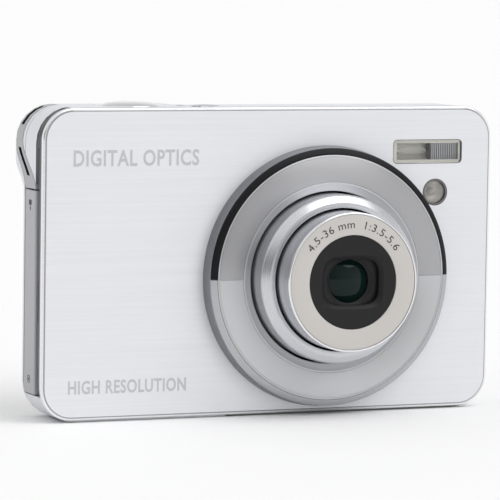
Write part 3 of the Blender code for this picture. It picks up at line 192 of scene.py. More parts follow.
@dataclass(frozen=True)
class Finish:
    """A maker's finish: its colour, how it shines and its surface texture.

    Attributes:
        name: The finish's name.
        colour: Linear colour.
        metallic: Metal share.
        roughness: Mean roughness.
        grain: The surface texture.
        pitch: The texture's spacing in millimetres.
        depth: The texture's height in millimetres.
        tone: The share by which the texture lightens and darkens the colour.
        stretch: How far reflections stretch across the lines.
        coat: Clear coat weight.
        clear: Transmission weight.
        ior: Index of refraction.
    """

    name: str
    colour: tuple[float, float, float]
    metallic: float
    roughness: float
    grain: Grain
    pitch: float = 0.2
    depth: float = 0.002
    tone: float = 0.04
    stretch: float = 0.0
    coat: float = 0.0
    clear: float = 0.0
    ior: float = 1.5

    def material(self) -> bpy.types.Material:
        """The finish as a material, made once."""
        return bpy.data.materials.get(self.name) or self._build()

    def _build(self) -> bpy.types.Material:
        """Build the node tree.

        Returns:
            The material.
        """
        graph = Graph(self.name)
        texture = self._texture(graph)
        broad = graph.add("ShaderNodeTexNoise", {"Scale": 60.0, "Detail": 2.0}).outputs["Fac"]
        place = graph.add("ShaderNodeTexCoord").outputs["Object"]
        graph.tree.links.new(place, broad.node.inputs["Vector"])
        blend = graph.math("ADD", graph.math("MULTIPLY", texture, 0.7), graph.math("MULTIPLY", broad, 0.3))
        dark = tuple(channel * (1 - self.tone) for channel in self.colour)
        light = tuple(min(1.0, channel * (1 + self.tone)) for channel in self.colour)
        colour = graph.add("ShaderNodeMix", {"Factor": blend}, data_type="RGBA")
        colour.inputs["A"].default_value = (*dark, 1.0)
        colour.inputs["B"].default_value = (*light, 1.0)
        roughness = graph.span(blend, self.roughness * 0.85, min(1.0, self.roughness * 1.15))
        bump = graph.add(
            "ShaderNodeBump", {"Height": texture, "Distance": self.depth * MM, "Strength": 1.0}
        ).outputs["Normal"]
        shader = graph.shader
        graph.tree.links.new(colour.outputs["Result"], shader.inputs["Base Color"])
        graph.tree.links.new(roughness, shader.inputs["Roughness"])
        graph.tree.links.new(bump, shader.inputs["Normal"])
        shader.inputs["Metallic"].default_value = self.metallic
        shader.inputs["IOR"].default_value = self.ior
        shader.inputs["Coat Weight"].default_value = self.coat
        shader.inputs["Coat Roughness"].default_value = 0.05
        shader.inputs["Transmission Weight"].default_value = self.clear
        if self.stretch:
            shader.inputs["Anisotropic"].default_value = self.stretch
            tangent = graph.add("ShaderNodeTangent", direction_type="UV_MAP", uv_map=TURNED_MAP)
            graph.tree.links.new(tangent.outputs["Tangent"], shader.inputs["Tangent"])
        return graph.material

    def _texture(self, graph: Graph) -> bpy.types.NodeSocket:
        """The surface texture as a height from 0 to 1.

        Args:
            graph: The tree to add to.

        Returns:
            The height's socket.
        """
        place = graph.add("ShaderNodeTexCoord").outputs["Object"]
        fine = 1.0 / (self.pitch * MM)
        if self.grain is Grain.BRUSHED:
            stretched = graph.add("ShaderNodeMapping", {"Vector": place, "Scale": (28.0, 28.0, fine)})
            sockets = {"Vector": stretched.outputs["Vector"], "Scale": 1.0, "Detail": 3.0}
            return graph.add("ShaderNodeTexNoise", sockets).outputs["Fac"]
        if self.grain is Grain.TURNED:
            lens = Datum.from_frame().lens
            centred = graph.add("ShaderNodeMapping", {"Vector": place, "Location": -lens})
            parts = graph.add("ShaderNodeSeparateXYZ", {"Vector": centred.outputs["Vector"]})
            flat = graph.add("ShaderNodeCombineXYZ", {"X": parts.outputs["X"], "Z": parts.outputs["Z"]})
            radius = graph.add("ShaderNodeVectorMath", {0: flat.outputs[0]}, operation="LENGTH")
            along = graph.math("ADD", radius.outputs["Value"], parts.outputs["Y"])
            sockets = {"W": graph.math("MULTIPLY", along, fine), "Scale": 1.0, "Detail": 2.0}
            return graph.add("ShaderNodeTexNoise", sockets, noise_dimensions="1D").outputs["Fac"]
        if self.grain is Grain.KNURLED:
            turned = graph.add("ShaderNodeUVMap", uv_map=TURNED_MAP).outputs["UV"]
            crossed = []
            for turn in (math.radians(38), math.radians(-38)):
                sockets = {"Vector": turned, "Rotation": (0.0, 0.0, turn)}
                lines = graph.add("ShaderNodeMapping", sockets).outputs["Vector"]
                wave = {"Vector": lines, "Scale": 0.314 / self.pitch, "Distortion": 0.3}
                crossed.append(graph.add("ShaderNodeTexWave", wave).outputs["Fac"])
            return graph.math("MULTIPLY", *crossed)
        if self.grain is Grain.PRINTED:
            sockets = {"Vector": place, "Scale": fine}
            cells = graph.add("ShaderNodeTexVoronoi", sockets, distance="CHEBYCHEV")
            return graph.math("GREATER_THAN", cells.outputs["Distance"], 0.46)
        detail = 4.0 if self.grain is Grain.SPRAYED else 1.5
        sockets = {"Vector": place, "Scale": fine, "Detail": detail}
        return graph.add("ShaderNodeTexNoise", sockets).outputs["Fac"]


PLATE = Finish("brushed_plate_finish", (0.80, 0.81, 0.84), 0.35, 0.42, Grain.BRUSHED, 0.42, 0.006, 0.07)
PLATE_EDGE = Finish(
    "polished_edge_finish", (0.86, 0.865, 0.88), 0.9, 0.24, Grain.BRUSHED, 0.3, 0.0, 0.02
)
# Dark grey for the plate's step: painted shade where the step turns away from the light.
PLATE_STEP_SHADE = Finish("coined_step_finish", (0.36, 0.36, 0.38), 0.8, 0.3, Grain.BRUSHED, 0.3, 0.0, 0.02)
CASE = Finish("satin_case_finish", (0.78, 0.79, 0.83), 0.25, 0.4, Grain.SPRAYED, 0.12, 0.002, 0.05)
# Dark gunmetal grey; on the case's neck groove it is partly the metal's own colour and partly painted shade
# in the groove.
GROOVE = Finish("neck_groove_finish", (0.20, 0.20, 0.21), 0.55, 0.42, Grain.BRUSHED, 0.3, 0.002, 0.1)
SIDE = Finish("side_panel_finish", (0.44, 0.44, 0.46), 0.45, 0.4, Grain.SPRAYED, 0.1, 0.0015, 0.04)
CHROME = Finish("bright_chrome_finish", (0.82, 0.82, 0.84), 1.0, 0.12, Grain.MOULDED, 1.2, 0.0004, 0.03)
RING = Finish("satin_ring_finish", (0.62, 0.625, 0.64), 0.9, 0.4, Grain.TURNED, 0.09, 0.002, 0.05, 0.9)
RING_EDGE = Finish("ring_edge_finish", (0.46, 0.47, 0.49), 0.95, 0.26, Grain.TURNED, 0.12, 0.001, 0.04, 0.3)
# Dark copy of the ring's metal for its outer wall: painted shade on the wall that turns away from the light.
RING_WALL_SHADE = Finish("ring_wall_finish", (0.25, 0.255, 0.27), 0.9, 0.3, Grain.TURNED, 0.12, 0.001, 0.04, 0.3)
RING_CUT = Finish("cut_ring_finish", (0.48, 0.48, 0.495), 0.9, 0.4, Grain.KNURLED, 0.3, 0.006, 0.1, 0.9)
STRIPE = Finish(
    "black_stripe_finish", (0.009, 0.009, 0.011), 0.0, 0.35, Grain.MOULDED, 0.4, 0.0006, 0.2, ior=1.25
)
BARREL = Finish("turned_barrel_finish", (0.62, 0.63, 0.66), 0.9, 0.27, Grain.TURNED, 0.08, 0.001, 0.03, 0.35)
NAME_PLATE = Finish("warm_ring_finish", (0.60, 0.575, 0.55), 0.35, 0.45, Grain.SPRAYED, 0.09, 0.001, 0.03)
BLACK = Finish(
    "moulded_black_finish", (0.011, 0.011, 0.012), 0.0, 0.5, Grain.MOULDED, 0.15, 0.002, 0.15, ior=1.35
)
# Near-black painted into the strap slots and behind them as painted shade.
SLOT_SHADE_BLACK = Finish("shadow_black_finish", (0.006, 0.006, 0.007), 0.0, 0.7, Grain.MOULDED, 0.3, 0.002, 0.2)
INK = Finish("printed_ink_finish", (0.025, 0.025, 0.027), 0.0, 0.5, Grain.SPRAYED, 0.08, 0.0005, 0.1)
GREY_INK = Finish("grey_ink_finish", (0.55, 0.55, 0.57), 0.3, 0.45, Grain.SPRAYED, 0.08, 0.0005, 0.05)
LENS_GLASS = Finish(
    "coated_lens_finish", (0.004, 0.014, 0.012), 0.0, 0.04, Grain.MOULDED, 6.0, 0.0004, 0.3, ior=1.28
)
CLEAR = Finish(
    "clear_window_finish", (0.97, 0.98, 0.98), 0.0, 0.03, Grain.MOULDED, 4.0, 0.0004, 0.01, clear=1.0
)
SMOKED = Finish(
    "lamp_glass_finish", (0.86, 0.86, 0.87), 0.0, 0.04, Grain.MOULDED, 3.0, 0.0004, 0.02, clear=1.0
)
REFLECTOR = Finish("reflector_finish", (0.90, 0.86, 0.78), 0.3, 0.35, Grain.BRUSHED, 0.35, 0.004, 0.06)
SCREEN = Finish(
    "screen_glass_finish", (0.010, 0.011, 0.013), 0.0, 0.06, Grain.MOULDED, 8.0, 0.0004, 0.2, coat=1.0
)
DISPLAY = Finish("display_finish", (0.022, 0.024, 0.030), 0.0, 0.1, Grain.MOULDED, 0.3, 0.0004, 0.1, coat=1.0)
STEEL = Finish("plain_steel_finish", (0.52, 0.52, 0.53), 1.0, 0.3, Grain.BRUSHED, 0.15, 0.001, 0.06)
BRASS = Finish("cut_brass_finish", (0.66, 0.50, 0.24), 1.0, 0.3, Grain.SPRAYED, 0.1, 0.001, 0.06)
ACETAL = Finish("acetal_finish", (0.76, 0.75, 0.70), 0.0, 0.42, Grain.MOULDED, 0.3, 0.001, 0.03)
BOARD = Finish("solder_mask_finish", (0.03, 0.17, 0.08), 0.0, 0.35, Grain.PRINTED, 1.1, 0.02, 0.35)
BATTERY = Finish("battery_shell_finish", (0.13, 0.14, 0.16), 0.0, 0.4, Grain.MOULDED, 0.2, 0.002, 0.1)
ORANGE = Finish("latch_finish", (0.80, 0.28, 0.04), 0.0, 0.4, Grain.MOULDED, 0.2, 0.001, 0.06)


# ---------------------------------------------------------------------------------------------
# Shapes


def fillet_outline(
    corners: Sequence[tuple[float, float, float]], steps: int = 4
) -> list[tuple[float, float]]:
    """Round the corners of a closed flat outline.

    Args:
        corners: Each corner's two places and its fillet, in millimetres.
        steps: Segments in each fillet.

    Returns:
        The outline's points.
    """
    outline = []
    count = len(corners)
    for index, (across, up, radius) in enumerate(corners):
        here = Vector((across, up))
        if not radius:
            outline.append((across, up))
            continue
        before = (Vector(corners[index - 1][:2]) - here).normalized()
        after = (Vector(corners[(index + 1) % count][:2]) - here).normalized()
        half = before.angle(after) / 2
        centre = here + (before + after).normalized() * radius / math.sin(half)
        first = here + before * radius / math.tan(half) - centre
        last = here + after * radius / math.tan(half) - centre
        swing = first.angle(last)
        for step in range(steps + 1):
            share = step / steps
            point = (first * math.sin((1 - share) * swing) + last * math.sin(share * swing)) / math.sin(swing)
            outline.append(tuple(centre + point))
    return outline


def rounded_rectangle(
    width: float, height: float, radius: float, steps: int = 6
) -> list[tuple[float, float]]:
    """A rounded rectangle's outline round its middle, in millimetres."""
    half_w, half_h = width / 2, height / 2
    corners = ((half_w, half_h), (-half_w, half_h), (-half_w, -half_h), (half_w, -half_h))
    return fillet_outline([(x, z, radius) for x, z in corners], steps)


def turned(
    profile: Sequence[tuple[float, float]],
    centre: Vector,
    axis: Vector = FORWARD,
    start: Vector = ACROSS,
    sweep: float = 360.0,
    steps: int = 128,
    closed: bool = True,
) -> bmesh.types.BMesh:
    """Spin a profile round an axis and lay a map on it.

    Args:
        profile: Points of (radius, height along the axis) in millimetres.
        centre: Where the heights start, in metres.
        axis: The direction of the axis.
        start: The direction of the first section.
        sweep: How far to spin, in degrees.
        steps: Segments in the sweep.
        closed: Whether the profile closes on itself; an open one starts and ends on the axis.

    Returns:
        The shape.
    """
    shape = bmesh.new()
    travel = shape.verts.layers.float.new("travel")
    verts = []
    length = 0.0
    for index, (radius, height) in enumerate(profile):
        if index:
            length += math.dist(profile[index - 1], (radius, height))
        made = shape.verts.new(centre + (start * radius + axis * height) * MM)
        made[travel] = length
        verts.append(made)
    edges = [shape.edges.new(pair) for pair in zip(verts, verts[1:])]
    if closed:
        edges.append(shape.edges.new((verts[-1], verts[0])))
    whole = sweep >= 360.0
    bmesh.ops.spin(
        shape,
        geom=verts + edges,
        cent=centre,
        axis=axis,
        dvec=(0.0, 0.0, 0.0),
        angle=math.radians(sweep),
        steps=steps,
        use_merge=whole,
        use_duplicate=False,
    )
    bmesh.ops.remove_doubles(shape, verts=shape.verts, dist=1e-8)
    if not whole:
        ends = [edge for edge in shape.edges if edge.is_boundary]
        bmesh.ops.holes_fill(shape, edges=ends, sides=0)
    bmesh.ops.recalc_face_normals(shape, faces=shape.faces)
    across = axis.cross(start)
    turned_map = shape.loops.layers.uv.new(TURNED_MAP)
    for face in shape.faces:
        offset = face.calc_center_median() - centre
        middle = math.atan2(offset.dot(across), offset.dot(start))
        reach = (offset - axis * offset.dot(axis)).length / MM
        for loop in face.loops:
            away = loop.vert.co - centre
            bearing = math.atan2(away.dot(across), away.dot(start))
            swing = (bearing - middle + math.pi) % (2 * math.pi) - math.pi
            loop[turned_map].uv = (loop.vert[travel], (middle + swing) * reach)
    return shape


def bevel(
    shape: bmesh.types.BMesh, edges: Iterable[bmesh.types.BMEdge], width: float, segments: int = 3
) -> None:
    """Round some edges by a width in millimetres."""
    bmesh.ops.bevel(
        shape,
        geom=list(edges),
        offset=width * MM,
        offset_type="OFFSET",
        segments=segments,
        profile=0.5,
        affect="EDGES",
        clamp_overlap=True,
        material=-1,
    )


def box_shape(low: Vector, high: Vector) -> bmesh.types.BMesh:
    """A box between two corners in metres."""
    shape = bmesh.new()
    size = high - low
    place = Matrix.Translation((low + high) / 2) @ Matrix.Diagonal((*size, 1.0))
    bmesh.ops.create_cube(shape, size=1.0, matrix=place)
    return shape


def edges_along(shape: bmesh.types.BMesh, axis: int) -> list[bmesh.types.BMEdge]:
    """A box's edges that run along an axis."""
    chosen = []
    for edge in shape.edges:
        run = edge.verts[0].co - edge.verts[1].co
        if abs(run[axis]) > 0.9 * run.length:
            chosen.append(edge)
    return chosen


def rim_edges(shape: bmesh.types.BMesh, axis: int, side: int) -> list[bmesh.types.BMEdge]:
    """The edges of the flat face at the low (-1) or high (+1) end of an axis."""
    reach = max(side * vert.co[axis] for vert in shape.verts)
    on_face = {vert for vert in shape.verts if abs(side * vert.co[axis] - reach) < 1e-7}
    return [edge for edge in shape.edges if set(edge.verts) <= on_face]


def soft_box(
    low: Vector, high: Vector, corner: float, edge: float, axis: int = 1, sides: Sequence[int] = (-1, 1)
) -> bmesh.types.BMesh:
    """A box with four rounded corners along an axis and eased rims at its ends.

    Args:
        low: Lowest corner in metres.
        high: Highest corner in metres.
        corner: Radius of the four corners in millimetres.
        edge: Radius of the rims in millimetres.
        axis: The axis that the corners run along.
        sides: The ends whose rims are eased.

    Returns:
        The shape.
    """
    shape = box_shape(low, high)
    if corner:
        bevel(shape, edges_along(shape, axis), corner, 8)
    for side in sides:
        bevel(shape, rim_edges(shape, axis, side), edge)
    return shape


def slab(outline: Sequence[tuple[float, float]], place: Matrix, thick: float) -> bmesh.types.BMesh:
    """A flat outline in millimetres given a thickness, then put in place.

    Args:
        outline: Points in the local XY plane.
        place: Where the local frame lies, in metres.
        thick: Thickness along local Z, in millimetres.

    Returns:
        The shape.
    """
    shape = bmesh.new()
    verts = [shape.verts.new((across * MM, up * MM, 0.0)) for across, up in outline]
    face = shape.faces.new(verts)
    grown = bmesh.ops.extrude_face_region(shape, geom=[face])["geom"]
    lifted = [item for item in grown if isinstance(item, bmesh.types.BMVert)]
    bmesh.ops.translate(shape, verts=lifted, vec=(0.0, 0.0, thick * MM))
    bmesh.ops.recalc_face_normals(shape, faces=shape.faces)
    bmesh.ops.transform(shape, matrix=place, verts=shape.verts)
    return shape


def merged(shapes: Sequence[bmesh.types.BMesh]) -> bmesh.types.BMesh:
    """Several shapes as one, side by side."""
    whole = bmesh.new()
    for shape in shapes:
        carried = bpy.data.meshes.new("carried")
        shape.to_mesh(carried)
        whole.from_mesh(carried)
        bpy.data.meshes.remove(carried)
        shape.free()
    return whole


def carved(shape: bmesh.types.BMesh, cutters: Sequence[bmesh.types.BMesh]) -> bmesh.types.BMesh:
    """A shape with exact Boolean cuts made in it.

    Args:
        shape: The shape to cut.
        cutters: What is taken out.

    Returns:
        The cut shape.
    """
    body = bpy.data.objects.new("stock", mesh_from("stock", shape))
    bpy.context.scene.collection.objects.link(body)
    tools = []
    for index, cutter in enumerate(cutters):
        tool = bpy.data.objects.new(f"tool_{index}", mesh_from(f"tool_{index}", cutter))
        bpy.context.scene.collection.objects.link(tool)
        step = body.modifiers.new("cut", "BOOLEAN")
        step.operation = "DIFFERENCE"
        step.solver = "EXACT"
        step.object = tool
        tools.append(tool)
    graph = bpy.context.evaluated_depsgraph_get()
    mesh = bpy.data.meshes.new_from_object(body.evaluated_get(graph))
    result = bmesh.new()
    result.from_mesh(mesh)
    for spent in (body, *tools):
        used = spent.data
        bpy.data.objects.remove(spent, do_unlink=True)
        bpy.data.meshes.remove(used)
    bpy.data.meshes.remove(mesh)
    return result


def mesh_from(name: str, shape: bmesh.types.BMesh) -> bpy.types.Mesh:
    """Write a shape to a new mesh."""
    mesh = bpy.data.meshes.new(name)
    shape.to_mesh(mesh)
    shape.free()
    return mesh


class Facing(Enum):
    """Which way a mark faces, as the tilt and the turn of a flat XY drawing in degrees."""

    FRONT = (90.0, 0.0)
    REAR = (90.0, 180.0)
    SIDE = (90.0, -90.0)
    TOP = (0.0, 0.0)

    def place(self, point: Vector) -> Matrix:
        """The matrix that lays a flat drawing at a point."""
        tilt, turn = (math.radians(angle) for angle in self.value)
        return Matrix.Translation(point) @ Matrix.Rotation(turn, 4, "Z") @ Matrix.Rotation(tilt, 4, "X")


def lettering(
    text: str, height: float, thick: float, width: float = 0.0, bold: float = 0.0
) -> bmesh.types.BMesh:
    """Letters as a thin solid in the XY plane, round their middle.

    Args:
        text: What is written.
        height: Height of a capital in millimetres.
        thick: Thickness in millimetres.
        width: The width that the line is fitted to in millimetres, or 0 for its own.
        bold: How far strokes are fattened, in millimetres.

    Returns:
        The letters.
    """
    capital = 0.72
    curve = bpy.data.curves.new("letters", "FONT")
    curve.body = text
    curve.size = height * MM / capital
    curve.extrude = thick / 2 * MM
    curve.offset = bold * MM
    curve.resolution_u = 3
    curve.space_character = 1.08
    drawn = bpy.data.objects.new("letters", curve)
    bpy.context.scene.collection.objects.link(drawn)
    graph = bpy.context.evaluated_depsgraph_get()
    mesh = bpy.data.meshes.new_from_object(drawn.evaluated_get(graph))
    shape = bmesh.new()
    shape.from_mesh(mesh)
    bpy.data.objects.remove(drawn, do_unlink=True)
    bpy.data.curves.remove(curve)
    bpy.data.meshes.remove(mesh)
    bmesh.ops.remove_doubles(shape, verts=shape.verts, dist=1e-8)
    xs = [vert.co.x for vert in shape.verts]
    ys = [vert.co.y for vert in shape.verts]
    middle = Vector(((min(xs) + max(xs)) / 2, (min(ys) + max(ys)) / 2, 0.0))
    bmesh.ops.translate(shape, verts=shape.verts, vec=-middle)
    if width:
        share = width * MM / (max(xs) - min(xs))
        bmesh.ops.scale(shape, verts=shape.verts, vec=(share, 1.0, 1.0))
    return shape


def placed(shape: bmesh.types.BMesh, place: Matrix) -> bmesh.types.BMesh:
    """A shape moved by a matrix."""
    bmesh.ops.transform(shape, matrix=place, verts=shape.verts)
    return shape


# ---------------------------------------------------------------------------------------------
# Pieces


def add_piece(
    name: str,
    shape: bmesh.types.BMesh,
    finishes: Finish | Sequence[Finish],
    body: str = "root",
    stands_for: Sequence[str] = (),
    sharp: float = 32.0,
    flat_first: bool = False,
) -> bpy.types.Object:
    """Make a finished piece and let it ride on its body.

    Args:
        name: The piece's name.
        shape: Its shape, in the frame's place.
        finishes: Its finishes, in the order of its faces' material numbers.
        body: The body that it rides on.
        stands_for: The frame nodes that it replaces.
        sharp: Edges over this many degrees stay sharp.
        flat_first: Whether large faces keep their flat shading beside rounded edges.

    Returns:
        The piece.
    """
    mesh = mesh_from(name, shape)
    for finish in (finishes,) if isinstance(finishes, Finish) else finishes:
        mesh.materials.append(finish.material())
    mesh.shade_smooth()
    mesh.set_sharp_from_angle(angle=math.radians(sharp))
    piece = bpy.data.objects.new(name, mesh)
    bpy.context.scene.collection.objects.link(piece)
    if flat_first:
        weighted = piece.modifiers.new("face weights", "WEIGHTED_NORMAL")
        weighted.keep_sharp = True
    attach(piece, body)
    if stands_for:
        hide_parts(*stands_for)
    LOG.info("%s: %d faces on %s", name, len(mesh.polygons), body)
    return piece


def node_shape(node: str) -> bmesh.types.BMesh:
    """A merged copy of a frame node's mesh, with its flat faces joined up again."""
    shape = bmesh.new()
    shape.from_mesh(frame["nodes"][node].data)
    bmesh.ops.remove_doubles(shape, verts=shape.verts, dist=1e-6)
    limit = math.radians(0.4)
    bmesh.ops.dissolve_limit(shape, angle_limit=limit, verts=shape.verts, edges=shape.edges)
    return shape


def node_body(node: str) -> str:
    """The body that a frame node rides on."""
    return frame["nodes"][node].parent.name.removeprefix("body:")


def refine(
    node: str,
    name: str,
    finishes: Finish | Sequence[Finish],
    edge: float = 0.0,
    paint: Callable[[bmesh.types.BMFace], int] | None = None,
    sharp: float = 32.0,
) -> bpy.types.Object:
    """Carry a frame node over as a smooth piece, with eased edges and its own finish.

    Args:
        node: The frame node.
        name: The piece's name.
        finishes: Its finishes.
        edge: How far its sharp edges are eased, in millimetres.
        paint: Gives each face its material number.
        sharp: Edges over this many degrees stay sharp.

    Returns:
        The piece.
    """
    shape = node_shape(node)
    if edge:
        limit = math.radians(40)
        keen = [side for side in shape.edges if side.is_manifold and side.calc_face_angle() > limit]
        bevel(shape, keen, edge, 2)
    if paint:
        for face in shape.faces:
            face.material_index = paint(face)
    return add_piece(name, shape, finishes, node_body(node), [node], sharp, flat_first=True)


def dress(node: str, finish: Finish) -> None:
    """Give a frame node that stays in the scene its finish."""
    for slot in frame["nodes"][node].material_slots:
        slot.material = finish.material()


# ---------------------------------------------------------------------------------------------
# Body


@dataclass
class FrontPlate:
    """The brushed front plate with its rolled edge, its openings and its printed words.

    Attributes:
        datum: The camera's datum planes.
        corner: Corner radius.
        roll: Radius of the rolled edge.
        step_inset: Width of the rolled edge outside the step.
        step_width: Width of the step, whose faces are painted dark grey as painted shade.
        step_drop: How far the rolled edge lies below the face.
        bore: Radius of the lens opening.
        clearance: Gap round the flash and lamp windows.
        print_thick: How far the print stands proud.
    """

    datum: Datum
    corner: float = 6.3
    roll: float = 0.42
    step_inset: float = 0.45
    step_width: float = 0.26
    step_drop: float = 0.14
    bore: float = 24.5
    clearance: float = 0.1
    print_thick: float = 0.02

    def build(self) -> None:
        """Model the plate and the print on it."""
        low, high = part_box("front_plate")
        shape = box_shape(low, high)
        bevel(shape, edges_along(shape, 1), self.corner, 14)
        front = next(face for face in shape.faces if face.normal.y < -0.9)
        bmesh.ops.inset_region(shape, faces=[front], thickness=self.step_inset * MM, use_even_offset=True)
        bmesh.ops.inset_region(shape, faces=[front], thickness=self.step_width * MM, use_even_offset=True)
        rolled = [vert for vert in shape.verts if vert.co.y < low.y + 1e-7 and vert not in set(front.verts)]
        bmesh.ops.translate(shape, verts=rolled, vec=(0.0, self.step_drop * MM, 0.0))
        reach = low.y + self.step_drop * MM
        rim = []
        for edge in shape.edges:
            level = all(abs(vert.co.y - reach) < 1e-6 for vert in edge.verts)
            if level and len({round(face.normal.y, 2) for face in edge.link_faces}) == 2:
                if all(abs(face.normal.y) < 0.1 or face.normal.y < -0.9 for face in edge.link_faces):
                    rim.append(edge)
        bevel(shape, rim, self.roll, 5)
        shape = carved(shape, self._openings(low, high))
        # The rolled edge and the sides take the polished finish; the step's faces take the dark grey painted
        # shade.
        step_depth = self.step_drop * MM
        for face in shape.faces:
            centre = face.calc_center_median()
            if centre.y > low.y + step_depth * 0.9 or abs(face.normal.y) < 0.1:
                face.material_index = 1
            elif centre.y > low.y + step_depth * 0.1:
                face.material_index = 2
        self._lay_brush_map(shape)
        finishes = (PLATE, PLATE_EDGE, PLATE_STEP_SHADE)
        add_piece(
            "front_plate_skin", shape, finishes, "root", ["front_plate"], flat_first=True
        )
        self._print()

    def _openings(self, low: Vector, high: Vector) -> list[bmesh.types.BMesh]:
        """Cutters for the lens, flash and lamp openings."""
        through = 3.0
        lens_profile = [(0, through), (self.bore, through), (self.bore, -through), (0, -through)]
        lens = turned(lens_profile, self.datum.lens, steps=96, closed=False)
        flash_low, flash_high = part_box("flash_window")
        room = Vector((self.clearance, 0.0, self.clearance)) * MM
        flash_low = Vector((flash_low.x, low.y - through * MM, flash_low.z)) - room
        flash_high = Vector((flash_high.x, high.y + through * MM, flash_high.z)) + room
        flash = box_shape(flash_low, flash_high)
        bevel(flash, edges_along(flash, 1), 0.9, 6)
        lamp = box_middle("lamp_window")
        radius = box_size("lamp_window").x / 2 + self.clearance
        lamp_place = Vector((lamp.x, self.datum.front, lamp.z))
        lamp_profile = [(0, through), (radius, through), (radius, -through), (0, -through)]
        lamp_hole = turned(lamp_profile, lamp_place, steps=48, closed=False)
        return [lens, flash, lamp_hole]

    @staticmethod
    def _lay_brush_map(shape: bmesh.types.BMesh) -> None:
        """Lay a map whose first direction runs across the brushed lines."""
        brush_map = shape.loops.layers.uv.get(TURNED_MAP) or shape.loops.layers.uv.new(TURNED_MAP)
        for face in shape.faces:
            for loop in face.loops:
                loop[brush_map].uv = (loop.vert.co.z / MM, loop.vert.co.x / MM)

    def _print(self) -> None:
        """Print plain words on the plate in grey ink."""
        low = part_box("front_plate")[0]
        lines = (
            ("maker_words", "DIGITAL OPTICS", 3.1, 26.0, (6.15, 51.2)),
            ("class_words", "HIGH RESOLUTION", 2.55, 24.5, (5.5, 6.85)),
        )
        for name, words, height, width, (inset, level) in lines:
            shape = lettering(words, height, 2 * self.print_thick, width, bold=0.09)
            place = Vector((low.x + (inset + width / 2) * MM, self.datum.front, level * MM))
            add_piece(f"front_{name}", placed(shape, Facing.FRONT.place(place)), GREY_INK)


@dataclass
class CaseShells:
    """Front and rear case halves, the strap band and what is let into the grip side.

    Attributes:
        datum: The camera's datum planes.
        groove_back: Where the neck behind the plate ends, from the front face.
        corner: Corner radius of the case seen from the front.
        slot_margin: Least distance of a strap slot from the band's edges.
        sweep: Heights between which the band sweeps back.
        band_top: How far back the band's two edges run at its top.
        band_rear: Where the band's rear edge lies at its foot.
        panel_edge: Easing of the panels' edges.
    """

    datum: Datum
    groove_back: float = 5.2
    corner: float = 7.0
    slot_margin: float = 0.8
    sweep: tuple[float, float] = (45.0, 54.0)
    band_top: tuple[float, float] = (13.1, 17.2)
    band_rear: float = 11.3
    panel_edge: float = 0.12

    def build(self) -> None:
        """Model the shells and the grip side."""
        refine("front_case", "front_case_shell", (CASE, GROOVE), paint=self._case_paint)
        refine("rear_case", "rear_case_shell", (CASE, GROOVE), paint=self._case_paint)
        refine("side_band", "strap_band", (SIDE, SLOT_SHADE_BLACK), self.panel_edge, self._band_slot_shade)
        refine("port_cover", "port_cover_panel", SIDE, self.panel_edge)
        refine("battery_door", "battery_door_panel", CASE, 0.06)
        self._strap_slot_shade()
        self._marks()

    def _case_paint(self, face: bmesh.types.BMFace) -> int:
        """Number of a case face's finish: the case colour, or dark grey in the neck groove that is partly
        gunmetal and partly painted shade.
        """
        centre = face.calc_center_median()
        depth = (centre.y - self.datum.front) / MM
        if depth < self.groove_back + 0.02 and self._inset(centre) > 0.08:
            return 1
        return 0

    def _band_slot_shade(self, face: bmesh.types.BMFace) -> int:
        """Number of a strap band face's finish: outside, or the walls of the slots painted near-black as
        painted shade.
        """
        low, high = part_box("side_band")
        centre = face.calc_center_median()
        level = (centre.z - self.datum.base) / MM
        share = min(max((level - self.sweep[0]) / (self.sweep[1] - self.sweep[0]), 0.0), 1.0)
        lean = share * share * (3 - 2 * share)
        depth = (centre.y - self.datum.front) / MM
        front = self.groove_back + (self.band_top[0] - self.groove_back) * lean
        rear = self.band_rear + (self.band_top[1] - self.band_rear) * lean
        within = front + self.slot_margin < depth < rear - self.slot_margin and level > self.sweep[0] + 0.5
        inner = abs(face.normal.x) < 0.5 and centre.x < low.x + (high.x - low.x) * 0.6
        return 1 if within and inner else 0

    def _inset(self, point: Vector) -> float:
        """How far a point lies inside the case's outline seen from the front, in millimetres."""
        low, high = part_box("rear_case")
        half_w = (high.x - low.x) / 2 / MM
        half_h = (self.datum.top - self.datum.base) / 2 / MM
        across = abs(point.x / MM) - (half_w - self.corner)
        up = abs((point.z - self.datum.base) / MM - half_h) - (half_h - self.corner)
        outside = math.hypot(max(across, 0.0), max(up, 0.0))
        return self.corner - outside - min(max(across, up), 0.0)

    def _strap_slot_shade(self) -> None:
        """A near-black block behind the strap slots, put there as painted shade for the slots' hollow."""
        band_low, band_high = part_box("side_band")
        low = Vector((band_low.x + 1.7 * MM, band_low.y + 1.2 * MM, band_low.z + 2.5 * MM))
        high = Vector((low.x + 1.2 * MM, band_high.y - 1.6 * MM, band_high.z - 4.5 * MM))
        add_piece("strap_well", soft_box(low, high, 1.0, 0.2, axis=0), SLOT_SHADE_BLACK)

    def _marks(self) -> None:
        """Two small plain marks on the port cover: a plug outline and a dot in a ring."""
        low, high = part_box("port_cover")
        depth = (low.y + high.y) / 2
        proud = 0.02
        strokes = []
        for width, height, level in ((1.5, 1.05, 42.3), (0.4, 0.9, 41.2)):
            place = Facing.SIDE.place(Vector((low.x, depth, level * MM)))
            strokes.append(slab(rounded_rectangle(width, height, width * 0.15, 2), place, proud))
        add_piece("plug_mark", merged(strokes), INK, "port_cover")
        spot = Vector((low.x, depth, 7.9 * MM))
        ring_profile = [(0.62, proud), (0.8, proud), (0.8, -proud), (0.62, -proud)]
        dot_profile = [(0.0, proud), (0.3, proud), (0.3, -proud), (0.0, -proud)]
        ring = turned(ring_profile, spot, -ACROSS, UP, steps=32)
        dot = turned(dot_profile, spot, -ACROSS, UP, steps=20, closed=False)
        add_piece("socket_mark", merged([ring, dot]), INK, "port_cover")


# ---------------------------------------------------------------------------------------------
# Lens


